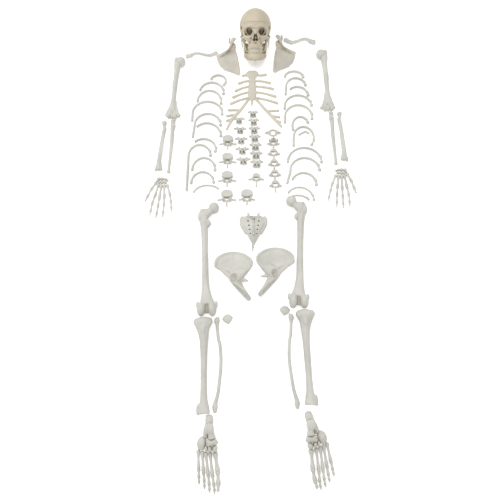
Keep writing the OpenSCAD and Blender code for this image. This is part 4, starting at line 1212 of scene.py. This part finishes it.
def carveCranium(bm):
    carveTemples(bm)
    bothSides(bm, lambda half: (
        web(half, ((31, 16, 98), (38, 32, 24)), ((30, 15, 74), (34, 29, 20)), ((18, 12, 46), (12, 12, 12))),
        knob(half, (24, -7, 84), (4, 4, 14)),
        knob(half, (30, 34, 90), (4, 5, 8)),
        knob(half, (69, -2, 0), (16, 8, 8)),
        knob(half, (49, -12, 8), (23, 15, 16)),
        knob(half, (45, -8, 36), (18, 40, 28)),
        knob(half, (36, -34, -30), (14, 30, 40))))
    web(bm, ((0, 6, 96), (9, 12, 34)), ((8, -18, 92), (11, 12, 34)), ((-8, -18, 92), (11, 12, 34)))
    web(bm, ((0, -8, 66), (22, 26, 34)), ((0, -14, 44), (24, 26, 24)))
    knob(bm, (0, -47, 52), (37, 22, 56))
    rod(bm, [[0, -60, -38, 31, 36], [0, 30, -38, 31, 36]], sides=24, steps=1, up=(0, 0, 1))


def carveBrain(bm):  # the floor steps up over the eye sockets
    egg(bm, -2 * skullSizes["wall"])


def brainFloor(bm):
    rod(bm, [[0, -6, -36, 110, 84], [0, 8, -36, 124, 100]], sides=24, steps=1, up=(0, 0, 1))
    web(bm, ((0, 30, 46), (104, 12, 60)), ((0, 12, 24), (90, 30, 30)), ((0, 4, 0), (110, 14, 60)))


def sawCut(low, high):
    def saw(bm):
        bmesh.ops.create_cube(bm, size=1, matrix=Matrix.Translation((0, (low + high) / 2,
                                                                     0)) @ Matrix.Diagonal((300, high - low,
                                                                                            300, 1)))
    return saw


cut, halfGap = skullSizes["cut"], skullSizes["cutGap"] / 2


def hollowCranium(bm):
    carveCranium(bm)
    brain = solidOf(carveBrain)
    floor = solidOf(lambda b: addMesh(b, applied(solidOf(brainFloor),
                                                 [("REMESH", {"mode": "VOXEL", "voxel_size": 2.5})])))
    space = applied(brain, [("BOOLEAN", {"operation": "DIFFERENCE", "solver": "MANIFOLD", "object": floor})])
    bpy.data.objects.remove(floor)
    addMesh(bm, space)


cranium = boneMesh(growCranium, hollowCranium, 1.45, 4, 0.8, growArches, sawCut(cut - halfGap, 200))
putBone("cranium", cranium, place=skullPlace)


def calvariumSaw(bm):
    sawCut(-200, cut + halfGap)(bm)
    holes(bm)


pinSizes = {"thick": 2.4, "length": 12, "clearance": 0.4, "places": [(67.3, 2), (-67.3, 2), (0, -82.2)]}


def pin(bm, x, z, grow=0):
    place = Matrix.Translation((x, cut, z)) @ Matrix.Rotation(radians(90), 4, "X")
    made = bmesh.ops.create_cone(bm, cap_ends=True, segments=24, radius1=pinSizes["thick"] / 2 + grow,
                                 radius2=pinSizes["thick"] / 2 + grow, depth=pinSizes["length"] + grow,
                                 matrix=place)
    return made["verts"]


def holes(bm):
    for x, z in pinSizes["places"]:
        pin(bm, x, z, pinSizes["clearance"])


def pins(bm):
    for x, z in pinSizes["places"]:
        pin(bm, x, z)
    ends = [e for e in bm.edges if any(len(f.verts) > 4 for f in e.link_faces)]
    bmesh.ops.bevel(bm, geom=ends, offset=0.35, segments=2, profile=0.5, affect="EDGES", material=-1)


calvarium = boneMesh(eggOutside, lambda bm: (carveTemples(bm), egg(bm, -2 * skullSizes["wall"])), 1.6, 4,
                     0.8, None, calvariumSaw)
putBone("calvarium", calvarium, place=skullPlace)
putBone("calvarium_pins", plainMesh(pins), place=skullPlace)
print("skull laid out")


# Lower jaw
def growMandible(bm):
    gum = skullSizes["toothLine"] - skullSizes["bite"] - 6
    low, x = gum - 24, skullSizes["jaw"] / 2
    d = skullSizes["condyle"]
    arc = [(34 * sin(radians(a)), 46 + 41 * cos(radians(a)), cos(radians(a))) for a in range(-78, 79, 12)]
    rod(bm, [[-x + 3, low + 7, 16, 9, 26]] + [[px, low - 4 * c, pz, 12, 28] for px, pz,
                                              c in arc] + [[x - 3, low + 7, 16, 9, 26]],
        up=(0, 1, 0), steps=3)
    rod(bm, [[27 * sin(radians(a)), gum - 6, 58 + 31 * cos(radians(a)), 9, 22] for a in range(-81, 82, 18)],
        up=(0, 1, 0))
    web(bm, ((0, low - 12, 86), (30, 14, 12)), ((0, low + 2, 87), (20, 16, 9)))

    def branch(half):
        rod(half, [[x - 3, low + 2, 18, 9, 30], [x - 1.5, low + 20, 19, 8, 34], [x - 1, -40, 19, 8, 33],
                   [x - 0.5, -28, 16, 8, 22],
                   [x, -18, 9, 9, 11]])
        rod(half, [[x - 2, -44, 30, 7, 16], [x - 1, -28, 34, 6, 12], [x - 1, -15, 34.5, 4, 7]])
        knob(half, (x, -13.5, 8), (d + 6, d, d))
        web(half, ((x - 9, -64, 18), (20, 20, 18)), ((x - 9, -34, 14), (18, 16, 14)))
        rod(half, [[x - 4, -38, 34, 6, 7], [x - 9, gum - 2, 42, 6, 8], [24, gum - 4, 66, 8, 10]])
    bothSides(bm, branch)


def carveMandible(bm):
    bothSides(bm, lambda half: (knob(half, (26, -76, 81), (5, 4, 12)), knob(half, (41, -48, 18), (7, 6, 8)),
                                knob(half, (52, -62, 22), (8, 24, 18)),
                                knob(half, (10, -72, 92), (16, 14, 7))))


putBone("mandible", boneMesh(growMandible, carveMandible, 1.3, 4, 0.6), place=skullPlace)

# Teeth from the middle to the back: widths, depths, and how far each crown stands out
toothSizes = {
    "upper": {"widths": [8.6, 6.8, 7.6, 7.0, 6.8, 10, 9.6, 8.4],
              "depths": [6.5, 6, 8, 8.6, 8.8, 10.5, 10.5, 9.5],
              "arch": (28, 31.5, 60), "root": -41, "edge": -51.4},
    "lower": {"widths": [5.4, 5.9, 6.8, 7, 7.1, 10.8, 10.4, 9.8],
              "depths": [6, 6.2, 7.6, 7.6, 8, 10, 10, 9.4],
              "arch": (26.5, 29.5, 58.5), "root": -62, "edge": -52.6},
}


def teeth(bm, row):
    rx, rz, mid = row["arch"]
    root, edge = row["root"], row["edge"]
    for s in (-1, 1):
        angle = 0
        for k, (w, d) in enumerate(zip(row["widths"], row["depths"])):
            step = w / ((rx * cos(radians(angle))) ** 2 + (rz * sin(radians(angle))) ** 2) ** 0.5 * 180 / pi
            a = radians(angle + step / 2)
            angle += step
            at = Vector((s * rx * sin(a), 0, mid + rz * cos(a)))
            out = Vector((s * sin(a), 0, cos(a)))
            wide, rise = w * 0.96, 1.2 if k == 2 else 0
            tall = edge - root
            tip = d * (0.42 if k < 3 else 0.82)
            rod(bm, [[at.x, root, at.z, wide * 0.62, d * 0.7],
                     [at.x, root + tall * 0.35, at.z, wide * 0.82, d * 0.9],
                     [at.x, root + tall * 0.7, at.z, wide, d * (0.8 if k < 3 else 1)],
                     [at.x, edge - (0.4 if tall < 0 else -0.4) + (rise if tall > 0 else -rise) * 0.5, at.z,
                      wide * 0.9, tip]],
                up=out, sides=14, steps=3, nose=0.12)


for row, body in (("upper", "skull"), ("lower", "mandible")):
    putOut(plainMesh(lambda bm: teeth(bm, toothSizes[row])), row + "Teeth", body, "tooth",
           skullPlace)

# Springs that hold the jaw shut
springSizes = {"across": 4, "wire": 0.7, "pitch": 1.05, "hook": 3.2, "top": (62.5, -7, 28),
               "low": (57, -46, 22)}


def oneSpring(bm):
    top, low = Vector(springSizes["top"]), Vector(springSizes["low"])
    wire, across, hook = springSizes["wire"], springSizes["across"], springSizes["hook"]
    reach = (low - top).length
    turns = round((reach - 2 * hook) / springSizes["pitch"])
    start = Matrix.Translation((across / 2 - wire / 2, 0, hook)) @ Matrix.Rotation(radians(90), 4, "X")
    made = bmesh.ops.create_circle(bm, cap_ends=True, segments=6, radius=wire / 2, matrix=start)
    edges = list(dict.fromkeys(e for v in made["verts"] for e in v.link_edges))
    steps = turns * 12
    made = bmesh.ops.spin(bm, geom=edges, cent=(0, 0, 0), axis=(0, 0, 1),
                          dvec=(0, 0, (reach - 2 * hook) / steps),
                          angle=2 * pi * turns, steps=steps, use_duplicate=False)
    bmesh.ops.edgeloop_fill(bm, edges=[e for e in made["geom_last"] if isinstance(e, bmesh.types.BMEdge)])
    for z, way in ((hook, -1), (reach - hook, 1)):
        rod(bm, [[across / 2 - wire / 2, 0, z, wire, wire], [0.6, 0, z + way, wire, wire],
                 [0, 0, z + way * 2.2, wire, wire], [0, 0.8, z + way * 3.2, wire, wire],
                 [0, 0, z + way * 4, wire, wire]], up=(1, 0.3, 0), sides=6, steps=4)
    aim = (low - top).to_track_quat("Z", "X").to_matrix().to_4x4()
    bmesh.ops.transform(bm, matrix=Matrix.Translation(top) @ aim, verts=bm.verts)


spring = putOut(plainMesh(lambda bm: bothSides(bm, oneSpring)), "jawSprings", None, "steel",
                skullPlace, ["jaw_springs"])
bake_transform(spring)
print("jaw, teeth and springs laid out")

# Floor, light and camera
stageSizes = {"floor": 30, "floorWhite": tint(0.90, 0.90, 0.90), "floorGrey": tint(0.87, 0.87, 0.87),
              "glow": 0.35,
              "sky": 0.55, "drop": 0.0005}
low, high = cadBox
middle = (low + high) / 2
bm = bmesh.new()
bmesh.ops.create_grid(bm, x_segments=1, y_segments=1, size=stageSizes["floor"] / 2)
bmesh.ops.translate(bm, verts=bm.verts, vec=(middle.x, middle.y, low.z - stageSizes["drop"]))
floorMesh = bpy.data.meshes.new("floor")
bm.to_mesh(floorMesh)
bm.free()
floor = bpy.data.objects.new("floor", floorMesh)
bpy.context.scene.collection.objects.link(floor)
paint = Paint("floor")
where = paint.node("ShaderNodeTexCoord", out="Object")
shade = paint.blend(paint.noise(where, 3, 2) * 0.2, stageSizes["floorWhite"],
                    stageSizes["floorGrey"])
floorMesh.materials.append(paint.finish({"Base Color": shade, "Roughness": 0.8, "Specular IOR Level": 0.1,
                                         "Emission Color": tint(1, 1, 1),
                                         "Emission Strength": stageSizes["glow"]}))


def softLight(name, at, size, power, colour=(1, 1, 1)):
    light = bpy.data.lights.new(name, "AREA")
    light.shape, light.size, light.energy, light.color = "SQUARE", size, power, colour
    lamp = bpy.data.objects.new(name, light)
    lamp.location = middle + Vector(at)
    lamp.rotation_euler = (middle - lamp.location).to_track_quat("-Z", "Y").to_euler()
    bpy.context.scene.collection.objects.link(lamp)


softLight("overhead", (0, 0.2, 3.2), 3.0, 70)
softLight("fromLeft", (-2.4, 1.6, 2.0), 1.6, 26)
world = bpy.data.worlds.new("studio")
world.use_nodes = True
world.node_tree.nodes["Background"].inputs["Color"].default_value = tint(1, 1, 1)
world.node_tree.nodes["Background"].inputs["Strength"].default_value = stageSizes["sky"]
bpy.context.scene.world = world
bpy.context.scene.view_settings.view_transform = "Standard"

cameraSizes = {"height": 1.53, "right": -0.004, "back": -0.573, "tilt": 16.5, "lens": 28.8, "sensor": 36}
camera = bpy.data.objects.new("camera", bpy.data.cameras.new("camera"))
camera.data.lens, camera.data.sensor_width = cameraSizes["lens"], cameraSizes["sensor"]
camera.location = (middle.x + cameraSizes["right"], middle.y + cameraSizes["back"],
                   low.z + cameraSizes["height"])
camera.rotation_euler = (radians(cameraSizes["tilt"]), 0, 0)
bpy.context.scene.collection.objects.link(camera)
bpy.context.scene.camera = camera
